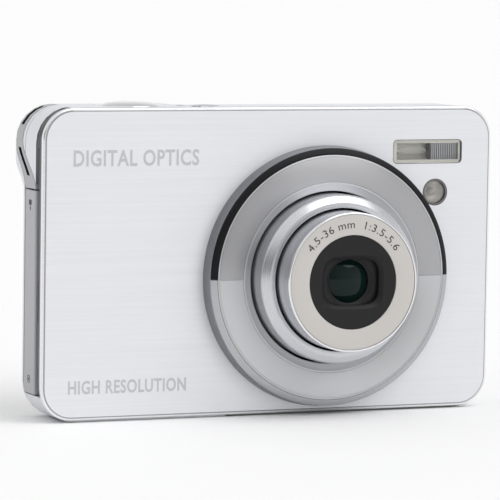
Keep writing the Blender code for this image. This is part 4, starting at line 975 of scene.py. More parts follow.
@dataclass
class LensRing:
    """The ring on the plate, its two half faces and the two half stripes on its chamfer.

    Attributes:
        datum: The camera's datum planes.
        base: Radius at the plate.
        front: Radius where the chamfer starts.
        face: Radius of the front face.
        bore: Radius of the face's bore.
        sleeve: Radius of the sleeve that the barrel slides in.
        rise: Height of the face above the plate.
        chamfer: Height of the chamfer.
        inlay: Depth of the seats for faces and stripes.
        gap: Gap between the halves and round the inlays.
        plate_bore: Radius that fits the plate's opening.
    """

    datum: Datum
    base: float = 25.9
    front: float = 25.56
    face: float = 24.2
    bore: float = 18.55
    sleeve: float = 17.1
    rise: float = 3.9
    chamfer: float = 0.8
    inlay: float = 0.3
    gap: float = 0.05
    plate_bore: float = 24.2

    def build(self) -> None:
        """Model the ring and what is let into it."""
        rise, seat = self.rise, self.rise - self.inlay
        drop = self.chamfer / (self.front - self.face)
        ring = fillet_outline(
            [
                (self.bore, rise, 0.06),
                (self.bore + 0.3, rise, 0.0),
                (self.bore + 0.3, seat, 0.0),
                (self.face - 0.28, seat, 0.0),
                (self.face - 0.28, rise - 0.07, 0.0),
                (self.face, rise - 0.09, 0.04),
                (self.face + 0.1, rise - 0.12 - self.inlay, 0.0),
                (self.front - 0.1, rise - self.chamfer - 0.04 - self.inlay, 0.0),
                (self.front, rise - self.chamfer - 0.1, 0.06),
                (self.base, 0.3, 0.25),
                (self.base, 0.0, 0.0),
                (self.plate_bore, 0.0, 0.0),
                (self.plate_bore, -1.0, 0.0),
                (self.sleeve, -0.6, 0.0),
                (self.sleeve, rise - 0.75, 0.12),
                (self.sleeve + 0.35, rise - 0.6, 0.0),
                (self.bore - 0.25, rise - 0.25, 0.0),
            ],
            3,
        )
        shape = turned(ring, self.datum.lens, steps=192)
        # The outer wall takes the dark copy of the ring metal as painted shade; the chamfer takes the edge
        # finish.
        for face in shape.faces:
            offset = face.calc_center_median() - self.datum.lens
            reach = math.hypot(offset.x, offset.z) / MM
            if reach > self.front - 0.02:
                face.material_index = 2
            elif reach > self.face + 0.05:
                face.material_index = 1
        add_piece("lens_ring_body", shape, (RING, RING_EDGE, RING_WALL_SHADE), "root", ["lens_ring"])

        inner, outer = self.bore + 0.3 + self.gap, self.face - 0.28 - self.gap
        plate = fillet_outline(
            [(inner, rise, 0.05), (outer, rise - 0.05, 0.05), (outer, seat, 0.0), (inner, seat, 0.0)], 2
        )
        low_r, high_r = self.face + 0.08, self.front - 0.08
        top = rise - 0.09
        stripe = fillet_outline(
            [
                (low_r, top - drop * 0.08, 0.03),
                (high_r, top - self.chamfer + drop * 0.08, 0.03),
                (high_r, top - self.chamfer - 0.1, 0.0),
                (low_r, top - drop * 0.08 - 0.28, 0.0),
            ],
            2,
        )
        lean = math.degrees(self.gap / self.face)
        halves = (("upper", lean, RING_CUT, STRIPE), ("lower", 180.0 + lean, RING, RING_EDGE))
        stands = {"upper": (["lens_ring_inlay"], ["lens_ring_stripe"]), "lower": ((), ())}
        for half, bearing, face_finish, stripe_finish in halves:
            turn = math.radians(bearing)
            start = Vector((math.cos(turn), 0.0, math.sin(turn)))
            sweep = 180.0 - 2 * lean
            for part, profile, finish, index in (
                ("face", plate, face_finish, 0),
                ("stripe", stripe, stripe_finish, 1),
            ):
                made = turned(profile, self.datum.lens, start=start, sweep=sweep, steps=96)
                add_piece(
                    f"lens_ring_{part}_{half}", made, finish, "root", stands[half][index]
                )


@dataclass
class ZoomBarrels:
    """The turning outer barrel, the sliding inner barrel and the pieces in its nose.

    Attributes:
        datum: The camera's datum planes.
        outer: Radius of barrel 1.
        outer_rise: Height of barrel 1 above the plate.
        outer_lip: Radius of the opening in barrel 1.
        shoulder: Radius of barrel 1's rounded shoulder.
        inner: Radius of barrel 2.
        inner_rise: Height of barrel 2 above the plate.
        inner_length: Length of barrel 2.
        wall: Thickness of the barrels' walls.
        rear: How far barrel 1 reaches behind the plate.
        name_bore: Bore of the name ring.
        name_thick: Thickness of the name ring.
        window: Width and height of the mask's opening.
        glass: Radius of the front lens that shows.
        words: What is printed round the name ring.
        letter_height: Height of that print.
        letter_radius: Radius of its middle line.
        letter_sweep: How far round it runs, in degrees.
    """

    datum: Datum
    outer: float = 16.68
    outer_rise: float = 8.6
    outer_lip: float = 14.13
    shoulder: float = 1.15
    inner: float = 13.69
    inner_rise: float = 14.06
    inner_length: float = 10.66
    wall: float = 1.2
    rear: float = 2.6
    name_bore: float = 9.25
    name_thick: float = 0.6
    window: tuple[float, float] = (11.5, 8.9)
    glass: float = 4.15
    words: str = "4.5-36 mm  1:3.5-5.6"
    letter_height: float = 1.55
    letter_radius: float = 11.35
    letter_sweep: float = 112.0

    def build(self) -> None:
        """Model the barrels and the nose."""
        self._outer_barrel()
        self._inner_barrel()
        self._name_ring()
        self._mask()
        self._front_glass()

    def _outer_barrel(self) -> None:
        """Barrel 1 with its rounded shoulder."""
        rise, lip, outer = self.outer_rise, self.outer_lip, self.outer
        bore = outer - self.wall - 0.08
        profile = fillet_outline(
            [
                (lip, rise - 0.06, 0.1),
                (lip + 0.5, rise, 0.0),
                (outer - 1.5, rise - 0.06, 0.4),
                (outer, rise - self.shoulder, 1.0),
                (outer, -self.rear, 0.0),
                (bore, -self.rear, 0.0),
                (bore, rise - 1.0, 0.0),
                (lip, rise - 1.0, 0.0),
            ],
            8,
        )
        shape = turned(profile, self.datum.lens, steps=160)
        add_piece("barrel_1_sleeve", shape, BARREL, "barrel_1", ["barrel_1"])

    def _inner_barrel(self) -> None:
        """Barrel 2 with its bright rim."""
        rise, outer = self.inner_rise, self.inner
        seat = outer - 0.4
        bore = outer - 1.0
        rear = rise - self.inner_length
        profile = fillet_outline(
            [
                (seat, rise - 0.02, 0.04),
                (outer, rise, 0.22),
                (outer, rear, 0.0),
                (bore, rear, 0.0),
                (bore, rise - self.name_thick - 0.15, 0.0),
                (seat, rise - self.name_thick - 0.15, 0.0),
            ],
            5,
        )
        shape = turned(profile, self.datum.lens, steps=144)
        for face in shape.faces:
            offset = face.calc_center_median() - self.datum.lens
            height = -offset.y / MM
            if height > rise - 0.3 and math.hypot(offset.x, offset.z) / MM > seat - 0.02:
                face.material_index = 1
        add_piece("barrel_2_sleeve", shape, (BARREL, CHROME), "barrel_2", ["barrel_2"])
        cell_front = rise - 1.8
        cell_rear = cell_front - 1.7
        glass = self.glass
        cell = fillet_outline(
            [
                (bore - 0.05, cell_front, 0.0),
                (bore - 0.05, cell_rear, 0.0),
                (glass + 0.1, cell_rear, 0.0),
                (glass + 0.1, cell_front - 0.55, 0.05),
                (glass + 0.35, cell_front - 0.45, 0.05),
                (glass + 0.75, cell_front - 0.1, 0.08),
                (glass + 1.5, cell_front, 0.2),
            ],
            4,
        )
        add_piece("front_lens_cell", turned(cell, self.datum.lens, steps=96), BLACK, "barrel_2", sharp=50.0)

    def _name_ring(self) -> None:
        """The warm grey ring and the print that runs round its upper half."""
        top = self.inner_rise - 0.05
        low = top - self.name_thick
        seat = self.inner - 0.47
        profile = fillet_outline(
            [(self.name_bore, top, 0.08), (seat, top, 0.1), (seat, low, 0.0), (self.name_bore, low, 0.0)], 3
        )
        shape = turned(profile, self.datum.lens, steps=144)
        add_piece("name_ring_plate", shape, NAME_PLATE, "barrel_2", ["name_ring"])
        line = lettering(self.words, self.letter_height, 0.04)
        xs = [vert.co.x for vert in line.verts]
        length = max(xs) - min(xs)
        for vert in line.verts:
            bearing = vert.co.x / length * math.radians(self.letter_sweep)
            radius = self.letter_radius * MM + vert.co.y
            vert.co = Vector((radius * math.sin(bearing), radius * math.cos(bearing), vert.co.z))
        place = self.datum.lens + FORWARD * top * MM
        add_piece("name_ring_print", placed(line, Facing.FRONT.place(place)), INK, "barrel_2")

    def _mask(self) -> None:
        """The black disc with its funnelled rounded window."""
        top = self.inner_rise - 0.15
        low = top - 0.45
        floor = self.inner_rise - 0.99
        rim = self.name_bore - 0.08
        count = 96
        levels = (
            (None, low),
            (None, top),
            (0.8, top),
            (0.7, top - 0.1),
            (0.12, floor + 0.35),
            (0.0, floor + 0.1),
            (0.0, floor),
            (0.3, floor),
        )
        shape = bmesh.new()
        loops = []
        for grow, height in levels:
            loop = []
            for step in range(count):
                bearing = 2 * math.pi * (step + 0.5) / count
                if grow is None:
                    across, up = rim * math.cos(bearing), rim * math.sin(bearing)
                else:
                    across, up = self._window_point(bearing, grow)
                loop.append(shape.verts.new(self.datum.lens + Vector((across, -height, up)) * MM))
            loops.append(loop)
        for first, second in zip(loops, loops[1:] + loops[:1]):
            for step in range(count):
                other = (step + 1) % count
                shape.faces.new((first[step], first[other], second[other], second[step]))
        bmesh.ops.recalc_face_normals(shape, faces=shape.faces)
        add_piece("front_mask", shape, BLACK, "barrel_2", ["mask_disc"], sharp=40.0)

    def _window_point(self, bearing: float, grow: float) -> tuple[float, float]:
        """Where the rounded window's edge lies at a bearing.

        Args:
            bearing: Angle round the lens axis.
            grow: How much wider the window is than its narrowest, in millimetres.

        Returns:
            The point across and up, in millimetres.
        """
        half_w, half_h = self.window[0] / 2 + grow, self.window[1] / 2 + grow
        power = 4.2
        across, up = math.cos(bearing), math.sin(bearing)
        reach = (abs(across / half_w) ** power + abs(up / half_h) ** power) ** (-1 / power)
        return reach * across, reach * up

    def _front_glass(self) -> None:
        """The front lens as a coated dome."""
        cell_front = self.inner_rise - 1.8
        radius = self.glass + 0.08
        steps = 12
        shares = [step / steps for step in range(steps + 1)]
        dome = [(radius * share, cell_front - 0.05 - 1.1 * share**2) for share in shares]
        rear = [(radius, cell_front - 1.6), (0.0, cell_front - 1.6)]
        shape = turned(dome + rear, self.datum.lens, steps=64, closed=False)
        add_piece(
            "front_lens_glass", shape, LENS_GLASS, "barrel_2", ["front_lens"], sharp=40.0
        )


# ---------------------------------------------------------------------------------------------
# Flash and lamp


@dataclass
class FlashUnit:
    """The flash window with its frame, trough and ribs, and the round lamp beside it.

    Attributes:
        datum: The camera's datum planes.
        cover: Thickness of the clear cover.
        rib_share: Share of the window that the upright ribs take.
        ribs: How many ribs there are.
    """

    datum: Datum
    cover: float = 0.7
    rib_share: float = 0.42
    ribs: int = 14

    def build(self) -> None:
        """Model the flash and the lamp."""
        self._flash()
        self._lamp()

    def _flash(self) -> None:
        """Clear cover, dark frame, bright trough, tube and ribs."""
        low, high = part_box("flash_window")
        cover_high = Vector((high.x, low.y + self.cover * MM, high.z))
        cover = soft_box(low, cover_high, 0.8, 0.12)
        add_piece("flash_cover", cover, CLEAR, "root", ["flash_window"])

        inner_low = Vector((low.x + 0.05 * MM, cover_high.y + 0.03 * MM, low.z + 0.05 * MM))
        inner_high = Vector((high.x - 0.05 * MM, high.y + 0.35 * MM, high.z - 0.05 * MM))
        surround = soft_box(inner_low, inner_high, 0.75, 0.05)
        mouth_low = inner_low + Vector((0.95, -1.0, 0.62)) * MM
        mouth_high = inner_high + Vector((-0.5, 1.0, -0.62)) * MM
        mouth = box_shape(mouth_low, mouth_high)
        surround = carved(surround, [mouth])
        for face in surround.faces:
            face.material_index = 1 if abs(face.normal.y) < 0.5 else 0
        add_piece("flash_surround", surround, (REFLECTOR, GROOVE), flat_first=True)

        depth_y = inner_high.y - 0.25 * MM
        left, right = mouth_low.x, mouth_high.x
        bottom, top = mouth_low.z, mouth_high.z
        middle = (bottom + top) / 2
        half = (top - bottom) / 2 / MM
        divider = left + (right - left) * (1 - self.rib_share)
        steps = 14
        bearings = [math.pi * step / steps for step in range(steps + 1)]
        curve = [(half * math.cos(bearing), -1.5 * math.sin(bearing)) for bearing in bearings]
        outline = [(half + 0.2, 0.0)] + curve + [(-half - 0.2, 0.0), (-half - 0.2, -1.9), (half + 0.2, -1.9)]
        turn = Matrix(((0, 0, 1, 0), (0, -1, 0, 0), (1, 0, 0, 0), (0, 0, 0, 1)))
        place = Matrix.Translation(Vector((left, depth_y, middle))) @ turn
        body = slab(outline, place, (divider - left) / MM - 0.15)
        add_piece("flash_trough", body, REFLECTOR, "root", ["flash_reflector"], sharp=40.0)

        tube_place = Vector((left + 0.2 * MM, depth_y + 0.55 * MM, middle))
        length = (divider - left) / MM - 0.7
        tube = fillet_outline(
            [(0.0, 0.0, 0.0), (0.0, length, 0.0), (0.42, length, 0.12), (0.42, 0.0, 0.12)], 3
        )
        tube_shape = turned(tube, tube_place, ACROSS, UP, steps=24, closed=False)
        add_piece("flash_lamp_tube", tube_shape, CLEAR, "root", ["flash_tube"])

        span = right - divider
        pitch = span / self.ribs
        bars = []
        for index in range(self.ribs):
            start = divider + index * pitch + 0.12 * pitch
            bar_low = Vector((start, inner_low.y + 0.5 * MM, bottom))
            bar_high = Vector((start + pitch * 0.62, depth_y, top))
            bar = box_shape(bar_low, bar_high)
            bevel(bar, edges_along(bar, 2), pitch * 0.2 / MM, 3)
            bars.append(bar)
        backing_low = Vector((divider - 0.1 * MM, depth_y - 0.02 * MM, bottom - 0.1 * MM))
        backing_high = Vector((right + 0.1 * MM, depth_y + 0.3 * MM, top + 0.1 * MM))
        add_piece("flash_ribs", merged(bars), STEEL, sharp=40.0)
        add_piece("flash_rib_backing", soft_box(backing_low, backing_high, 0.1, 0.03), BLACK)

    def _lamp(self) -> None:
        """Glass dome, dark tube, bright cup and the small bulb in it."""
        centre = box_middle("lamp_window")
        radius = box_size("lamp_window").x / 2
        place = Vector((centre.x, self.datum.front, centre.z))
        tube = fillet_outline(
            [
                (radius - 0.28, 0.02, 0.04),
                (radius - 0.02, 0.0, 0.08),
                (radius - 0.02, -2.3, 0.0),
                (radius - 0.28, -2.3, 0.0),
            ],
            3,
        )
        add_piece("lamp_bezel", turned(tube, place, steps=64), GROOVE)
        bore = radius - 0.32
        steps = 8
        shares = [step / steps for step in range(steps + 1)]
        dome = [(bore * share, 0.1 - 0.55 * share**2) for share in shares]
        lens = dome + [(bore, -0.75), (0.0, -0.75)]
        shape = turned(lens, place, steps=48, closed=False)
        add_piece("lamp_lens", shape, SMOKED, "root", ["lamp_window"], sharp=40.0)
        cup = [(bore - 0.05, -0.85), (bore - 0.05, -2.25), (0.0, -2.25), (0.0, -2.1)]
        bowl = [(0.3 + (bore - 0.45) * share, -2.1 + 1.2 * share**2) for share in shares]
        add_piece("lamp_cup", turned(cup + bowl, place, steps=48, closed=False), REFLECTOR, sharp=40.0)
        bearings = [math.pi / 2 * step / 6 for step in range(7)]
        bulb = [(0.62 * math.sin(bearing), -1.9 + 0.62 * math.cos(bearing)) for bearing in bearings]
        bulb_shape = turned(bulb + [(0.62, -2.05), (0.0, -2.05)], place, steps=32, closed=False)
        add_piece("lamp_bulb", bulb_shape, ACETAL, sharp=40.0)


# ---------------------------------------------------------------------------------------------
# Controls


@dataclass
class TopControls:
    """Shutter button in its bezel and the sunk power button."""

    datum: Datum

    def build(self) -> None:
        """Model the top controls."""
        low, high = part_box("shutter_button")
        radius = (high.x - low.x) / 2 / MM
        place = Vector(((low.x + high.x) / 2, (low.y + high.y) / 2, self.datum.top))
        proud = (high.z - self.datum.top) / MM
        button = fillet_outline(
            [
                (radius, proud - 0.75, 0.18),
                (radius, -0.8, 0.0),
                (radius - 0.6, -0.8, 0.0),
                (radius - 0.6, -0.1, 0.0),
                (1.5, -0.1, 0.0),
                (1.5, -4.6, 0.0),
                (0.0, -4.6, 0.0),
                (0.0, proud, 0.0),
                (radius * 0.5, proud - 0.1, 0.0),
                (radius * 0.82, proud - 0.36, 0.0),
            ],
            4,
        )
        first = button.index((0.0, proud))
        ordered = button[first:] + button[:first]
        shape = turned(ordered, place, UP, ACROSS, steps=72, closed=False)
        add_piece("shutter_button_cap", shape, CHROME, "shutter_button", ["shutter_button"])

        bezel_low, bezel_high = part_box("shutter_bezel")
        outer = (bezel_high.x - bezel_low.x) / 2 / MM
        inner = outer - 0.45
        floor = (bezel_low.z - self.datum.top) / MM
        bezel = fillet_outline(
            [
                (outer, 0.05, 0.12),
                (outer, floor, 0.0),
                (1.9, floor, 0.0),
                (1.9, floor + 0.6, 0.0),
                (inner, floor + 0.6, 0.0),
                (inner, 0.05, 0.1),
            ],
            3,
        )
        shape = turned(bezel, place, UP, ACROSS, steps=72)
        add_piece("shutter_bezel_ring", shape, CHROME, "root", ["shutter_bezel"])
        dress("shutter_spring", STEEL)

        radius = 2.6
        place = box_end("power_button", 2)
        depth = box_size("power_button").z
        power = fillet_outline(
            [
                (0.0, -0.1, 0.0),
                (radius - 0.7, -0.02, 0.0),
                (radius, 0.0, 0.15),
                (radius, -depth + 0.6, 0.0),
                (radius + 0.5, -depth + 0.6, 0.0),
                (radius + 0.5, -depth, 0.0),
                (0.0, -depth, 0.0),
            ],
            4,
        )
        shape = turned(power, place, UP, ACROSS, steps=48, closed=False)
        add_piece("power_button_cap", shape, CHROME, "power_button", ["power_button"])
        bearing = math.radians(140)
        arc_profile = [(0.75, 0.03), (0.95, 0.03), (0.95, -0.08), (0.75, -0.08)]
        start = Vector((math.cos(bearing), math.sin(bearing), 0.0))
        arc = turned(arc_profile, place, UP, start, sweep=260.0, steps=32)
        above = Facing.TOP.place(place + Vector((0.0, 0.75, -0.08)) * MM)
        stroke = slab(rounded_rectangle(0.2, 0.9, 0.08, 2), above, 0.11)
        add_piece("power_symbol", merged([arc, stroke]), INK, "power_button")


class Mark(Enum):
    """The plain mark printed on a rear button."""

    ARROW = "arrow"
    BARS = "bars"
    BIN = "bin"
    FRAME = "frame"


@dataclass
class RearControls:
    """Screen, round buttons, four-way pad and zoom rocker on the back.

    Attributes:
        datum: The camera's datum planes; not used.
        button: Radius of a round button.
        flange: Radius of its hidden flange.
        print_thick: Thickness of the printed marks.
        screen_border: Width of the black border round the display.
        marks: The mark on each button.
    """

    datum: Datum
    button: float = 2.6
    flange: float = 3.1
    print_thick: float = 0.03
    screen_border: float = 2.2
    marks: dict[str, Mark] = field(
        default_factory=lambda: {
            "mode_button": Mark.FRAME,
            "playback_button": Mark.ARROW,
            "menu_button": Mark.BARS,
            "delete_button": Mark.BIN,
        }
    )

    def build(self) -> None:
        """Model what is on the back."""
        for node, mark in self.marks.items():
            self._button(node, mark)
        self._pad()
        self._rocker()
        self._screen()
        place = box_end("status_led", 1)
        length = box_size("status_led").y
        led = fillet_outline(
            [(0.0, 0.0, 0.0), (0.8, -0.15, 0.12), (0.8, -length, 0.0), (0.0, -length, 0.0)], 3
        )
        shape = turned(led, place, REARWARD, ACROSS, steps=24, closed=False)
        add_piece("status_light", shape, SMOKED, "root", ["status_led"])

    def _button(self, node: str, mark: Mark) -> None:
        """A round rear button, a little dished, with its mark."""
        place = box_end(node, 1)
        length = box_size(node).y
        profile = fillet_outline(
            [
                (0.0, -0.12, 0.0),
                (self.button - 0.8, -0.08, 0.4),
                (self.button, 0.0, 0.16),
                (self.button, -length + 0.5, 0.0),
                (self.flange, -length + 0.5, 0.0),
                (self.flange, -length, 0.0),
                (0.0, -length, 0.0),
            ],
            4,
        )
        shape = turned(profile, place, REARWARD, ACROSS, steps=48, closed=False)
        add_piece(f"{node}_cap", shape, CHROME, node, [node])
        drawing = placed(merged(self._drawing(mark)), Facing.REAR.place(place + Vector((0, -0.13, 0)) * MM))
        add_piece(f"{node}_mark", drawing, INK, node)

    def _drawing(self, mark: Mark) -> list[bmesh.types.BMesh]:
        """A mark's strokes, flat round its middle."""
        flat = Matrix.Identity(4)
        thick = self.print_thick + 0.03

        def stroke(width: float, height: float, across: float, up: float) -> bmesh.types.BMesh:
            """One rounded stroke."""
            moved = Matrix.Translation(Vector((across, up, 0.0)) * MM)
            return slab(rounded_rectangle(width, height, min(width, height) * 0.3, 2), moved, thick)

        if mark is Mark.ARROW:
            return [slab([(-0.55, -0.75), (0.8, 0.0), (-0.55, 0.75)], flat, thick)]
        if mark is Mark.BARS:
            return [stroke(1.7, 0.24, 0.0, level) for level in (-0.55, 0.0, 0.55)]
        if mark is Mark.BIN:
            body = [stroke(0.2, 1.1, side, -0.15) for side in (-0.5, 0.0, 0.5)]
            return body + [stroke(1.2, 0.2, 0.0, -0.72), stroke(1.6, 0.22, 0.0, 0.62)]
        upright = [stroke(0.22, 1.3, side, 0.0) for side in (-0.85, 0.85)]
        return upright + [stroke(1.9, 0.22, 0.0, level) for level in (-0.6, 0.6)]

    def _pad(self) -> None:
        """The four-way ring and the confirm button in its middle."""
        place = box_end("nav_ring", 1)
        outer, bore = box_size("nav_ring").x / 2, 4.1
        depth = box_size("nav_ring").y
        profile = fillet_outline(
            [
                (bore, -0.3, 0.0),
                (bore + 0.4, 0.0, 0.25),
                ((bore + outer) / 2, -0.16, 1.2),
                (outer - 1.2, 0.0, 0.5),
                (outer, -0.6, 0.2),
                (outer, -depth, 0.0),
                (bore, -depth, 0.0),
            ],
            5,
        )
        shape = turned(profile, place, REARWARD, ACROSS, steps=96)
        add_piece("four_way_ring", shape, CHROME, "nav_ring", ["nav_ring"])
        arrows = []
        for quarter in range(4):
            turn = Matrix.Rotation(quarter * math.pi / 2, 4, "Z")
            moved = turn @ Matrix.Translation(Vector((0.0, (bore + outer) / 2, 0.0)) * MM)
            arrows.append(slab([(-0.6, -0.35), (0.6, -0.35), (0.0, 0.5)], moved, 0.06))
        drawing = placed(merged(arrows), Facing.REAR.place(place + Vector((0, -0.15, 0)) * MM))
        add_piece("four_way_marks", drawing, INK, "nav_ring")

        place.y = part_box("ok_button")[1].y
        radius = box_size("ok_button").x / 2
        length = box_size("ok_button").y
        cap = fillet_outline(
            [(0.0, -0.1, 0.0), (radius, 0.0, 0.2), (radius, -length, 0.0), (0.0, -length, 0.0)], 4
        )
        shape = turned(cap, place, REARWARD, ACROSS, steps=64, closed=False)
        add_piece("confirm_button", shape, CHROME, "ok_button", ["ok_button"])
        letters = lettering("OK", 1.3, 0.12, bold=0.03)
        placed(letters, Facing.REAR.place(place + Vector((0, -0.04, 0)) * MM))
        add_piece("confirm_letters", letters, INK, "ok_button")
        dress("nav_pivot", BLACK)

    def _rocker(self) -> None:
        """The zoom rocker with its grip dots and end letters."""
        low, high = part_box("zoom_rocker")
        shape = soft_box(low, high, 1.2, 0.35, sides=(1,))
        stands_for = ["zoom_rocker"]
        add_piece(
            "zoom_rocker_bar", shape, CHROME, "zoom_rocker", stands_for, flat_first=True
        )
        middle = (low + high) / 2
        bead = [(0.0, 0.18), (0.22, 0.12), (0.26, 0.0), (0.0, 0.0)]
        dots = []
        for index in range(5):
            spot = Vector((middle.x + (index - 2) * 1.0 * MM, high.y - 0.05 * MM, middle.z))
            dots.append(turned(bead, spot, REARWARD, ACROSS, steps=12, closed=False))
        add_piece("zoom_rocker_dots", merged(dots), CHROME, "zoom_rocker")
        letters = []
        for letter, side in (("T", -1), ("W", 1)):
            spot = Vector((middle.x + side * 5.3 * MM, high.y, middle.z))
            letters.append(placed(lettering(letter, 1.5, 0.05, bold=0.03), Facing.REAR.place(spot)))
        add_piece("zoom_rocker_letters", merged(letters), INK, "zoom_rocker")

    def _screen(self) -> None:
        """The screen's black window with the display set in it."""
        low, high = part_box("lcd_window")
        shape = soft_box(low, high, 1.0, 0.18, sides=(1,))
        add_piece("screen_window", shape, SCREEN, "root", ["lcd_window"], flat_first=True)
        middle = (low + high) / 2
        size = (high - low) / MM - Vector((1.0, 0.0, 1.0)) * 2 * self.screen_border
        outline = rounded_rectangle(size.x, size.z, 0.3)
        place = Facing.REAR.place(Vector((middle.x, high.y, middle.z)))
        add_piece("screen_picture", slab(outline, place, self.print_thick), DISPLAY)
        dress("lcd_panel", DISPLAY)


# ---------------------------------------------------------------------------------------------
# Inside and underneath


@dataclass
class Inside:
    """What the case holds: lens drive, boards, battery bay, ports and screws."""

    datum: Datum
    socket_bore: float = 3.175
    socket_outer: float = 4.1

    def build(self) -> None:
        """Dress the inner nodes and model the tripod socket."""
        plain = {
            STEEL: ("zoom_motor", "usb_socket", "door_slider"),
            BRASS: ("motor_pinion",),
            ACETAL: ("drive_gear",),
            BOARD: ("main_board", "control_board"),
            BATTERY: ("battery", "memory_card"),
            ORANGE: ("battery_latch",),
            LENS_GLASS: ("middle_lens", "focus_lens", "image_sensor"),
            BLACK: (
                "lens_housing",
                "guide_ring",
                "shutter_unit",
                "focus_cell",
                "barrier_blade_upper",
                "barrier_blade_lower",
                "battery_holder",
                "port_frame",
                "flash_capacitor",
            ),
        }
        for finish, nodes in plain.items():
            for node in nodes:
                dress(node, finish)
        for number in range(1, 5):
            refine(f"case_screw_{number}", f"case_screw_{number}_head", STEEL, 0.04)
        self._tripod()

    def _tripod(self) -> None:
        """The tripod socket with its thread."""
        low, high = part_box("tripod_socket")
        place = Vector(((low.x + high.x) / 2, (low.y + high.y) / 2, low.z))
        height = (high.z - low.z) / MM
        pitch = 1.27
        bore, outer = self.socket_bore, self.socket_outer
        floor = height - 0.7
        turns = int((floor - 0.6) / pitch)
        thread = [(bore + 0.45, 0.0), (bore, 0.45)]
        for turn in range(turns):
            start = 0.6 + turn * pitch
            thread += [(bore, start), (bore + 0.42, start + pitch * 0.45), (bore, start + pitch * 0.9)]
        profile = [(0.0, height), (outer, height), (outer, 0.0)] + thread + [(bore, floor), (0.0, floor)]
        shape = turned(profile, place, UP, ACROSS, steps=64, closed=False)
        add_piece("tripod_insert", shape, STEEL, "root", ["tripod_socket"], sharp=25.0)


# ---------------------------------------------------------------------------------------------
# Studio


@dataclass(frozen=True)
class Lamp:
    """A broad soft light.

    Attributes:
        name: Its name.
        azimuth: Where it stands, in degrees to the right of the camera's front.
        elevation: Its height in degrees.
        strength: Its power.
        spread: Its apparent size in degrees.
        colour: Its colour.
    """

    name: str
    azimuth: float
    elevation: float
    strength: float
    spread: float
    colour: tuple[float, float, float] = (1.0, 1.0, 1.0)

    def place(self) -> None:
        """Add the light to the scene."""
        data = bpy.data.lights.new(self.name, "SUN")
        data.energy = self.strength
        data.angle = math.radians(self.spread)
        data.color = self.colour
        light = bpy.data.objects.new(self.name, data)
        side, up = math.radians(self.azimuth), math.radians(self.elevation)
        towards = Vector((math.sin(side) * math.cos(up), -math.cos(side) * math.cos(up), math.sin(up)))
        light.rotation_euler = towards.to_track_quat("Z", "Y").to_euler()
        bpy.context.scene.collection.objects.link(light)


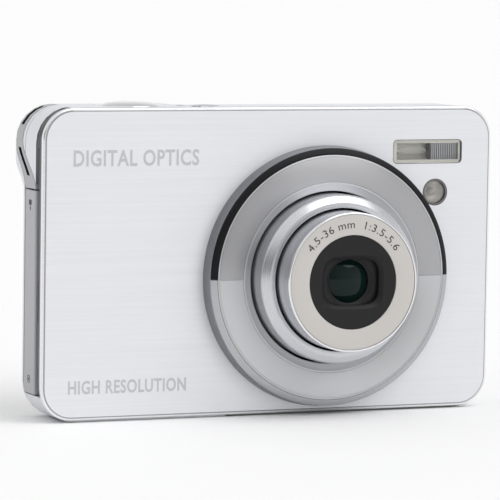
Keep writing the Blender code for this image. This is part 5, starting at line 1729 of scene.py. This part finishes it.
@dataclass
class Studio:
    """Pale floor, soft light and the camera.

    Attributes:
        datum: The camera's datum planes.
        azimuth: How far left of the front the viewpoint stands, in degrees.
        elevation: Its height in degrees.
        roll: Its tilt in degrees.
        distance: Its distance to the plate's middle in millimetres.
        focal: Focal length over the sensor's width.
        shift: Sideways and upward lens shift.
        aim_height: Height of the point that it looks at, in millimetres.
        horizon: Strength of the light near the horizon in front, on the left and on the right.
        backdrop: Strength of the light near the horizon behind.
        overhead: Strength of the light above.
        lamps: The lights.
    """

    datum: Datum
    azimuth: float = 23.218
    elevation: float = 5.135
    roll: float = 0.889
    distance: float = 721.96
    focal: float = 7.3387
    shift: tuple[float, float] = (-0.04276, 0.01834)
    aim_height: float = 30.95
    horizon: tuple[float, float] = (0.15, 0.9)
    backdrop: float = 0.95
    overhead: float = 0.62
    lamps: tuple[Lamp, ...] = (
        Lamp("key_light", 38.0, 52.0, 1.15, 50.0),
        Lamp("fill_light", -60.0, 60.0, 0.4, 80.0),
    )

    def build(self) -> None:
        """Set up the floor, the lights and the camera."""
        self._floor()
        self._sky()
        for lamp in self.lamps:
            lamp.place()
        self._camera()
        bpy.context.scene.view_settings.view_transform = "Standard"

    def _floor(self) -> None:
        """A wide pale floor under the camera."""
        shape = bmesh.new()
        bmesh.ops.create_grid(shape, x_segments=2, y_segments=2, size=20.0)
        mesh = mesh_from("studio_floor", shape)
        finish = Finish("pale_floor_finish", (0.96, 0.96, 0.96), 0.0, 0.8, Grain.SPRAYED, 3.0, 0.0, 0.004)
        mesh.materials.append(finish.material())
        floor = bpy.data.objects.new("studio_floor", mesh)
        floor.location.z = self.datum.base - 0.02 * MM
        bpy.context.scene.collection.objects.link(floor)

    def _sky(self) -> None:
        """Soft light all round, darker in front near the horizon and most of all on the left."""
        world = bpy.data.worlds.new("studio_sky")
        world.use_nodes = True
        tree = world.node_tree
        place = tree.nodes.new("ShaderNodeTexCoord")
        parts = tree.nodes.new("ShaderNodeSeparateXYZ")
        tree.links.new(place.outputs["Generated"], parts.inputs[0])
        strength = None
        for axis, low, high, from_low, from_high in (
            ("X", *self.horizon, -0.9, 0.9),
            ("Y", None, self.backdrop, -0.2, 0.3),
            ("Z", None, self.overhead, 0.0, 0.75),
        ):
            ramp = tree.nodes.new("ShaderNodeMapRange")
            ramp.interpolation_type = "SMOOTHSTEP"
            ramp.inputs["From Min"].default_value = from_low
            ramp.inputs["From Max"].default_value = from_high
            ramp.inputs["To Max"].default_value = high
            if low is None:
                tree.links.new(strength, ramp.inputs["To Min"])
            else:
                ramp.inputs["To Min"].default_value = low
            tree.links.new(parts.outputs[axis], ramp.inputs["Value"])
            strength = ramp.outputs["Result"]
        background = tree.nodes["Background"]
        background.inputs["Color"].default_value = (1.0, 1.0, 1.0, 1.0)
        tree.links.new(strength, background.inputs["Strength"])
        bpy.context.scene.world = world

    def _camera(self) -> None:
        """The viewpoint, in front and to the left of the lens."""
        low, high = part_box("front_plate")
        target = Vector(((low.x + high.x) / 2, self.datum.front, self.datum.base + self.aim_height * MM))
        side, down = math.radians(self.azimuth), math.radians(self.elevation)
        ahead = Vector((math.sin(side) * math.cos(down), math.cos(side) * math.cos(down), -math.sin(down)))
        right = ahead.cross(UP).normalized()
        top = right.cross(ahead)
        roll = math.radians(self.roll)
        turned_right = math.cos(roll) * right + math.sin(roll) * top
        turned_top = math.cos(roll) * top - math.sin(roll) * right
        data = bpy.data.cameras.new("studio_camera")
        data.sensor_width = 36.0
        data.lens = self.focal * data.sensor_width
        data.shift_x, data.shift_y = self.shift
        data.clip_start, data.clip_end = 0.01, 100.0
        camera = bpy.data.objects.new("studio_camera", data)
        axes = Matrix((turned_right, turned_top, -ahead)).transposed().to_4x4()
        camera.matrix_world = Matrix.Translation(target - ahead * self.distance * MM) @ axes
        bpy.context.scene.collection.objects.link(camera)
        bpy.context.scene.camera = camera


def main() -> None:
    """Build every sub-assembly in order."""
    logging.basicConfig(level=logging.INFO, format="%(name)s: %(message)s")
    datum = Datum.from_frame()
    for part in (
        Studio(datum),
        FrontPlate(datum),
        CaseShells(datum),
        LensRing(datum),
        ZoomBarrels(datum),
        FlashUnit(datum),
        TopControls(datum),
        RearControls(datum),
        Inside(datum),
    ):
        part.build()


if __name__ == "__main__":
    main()
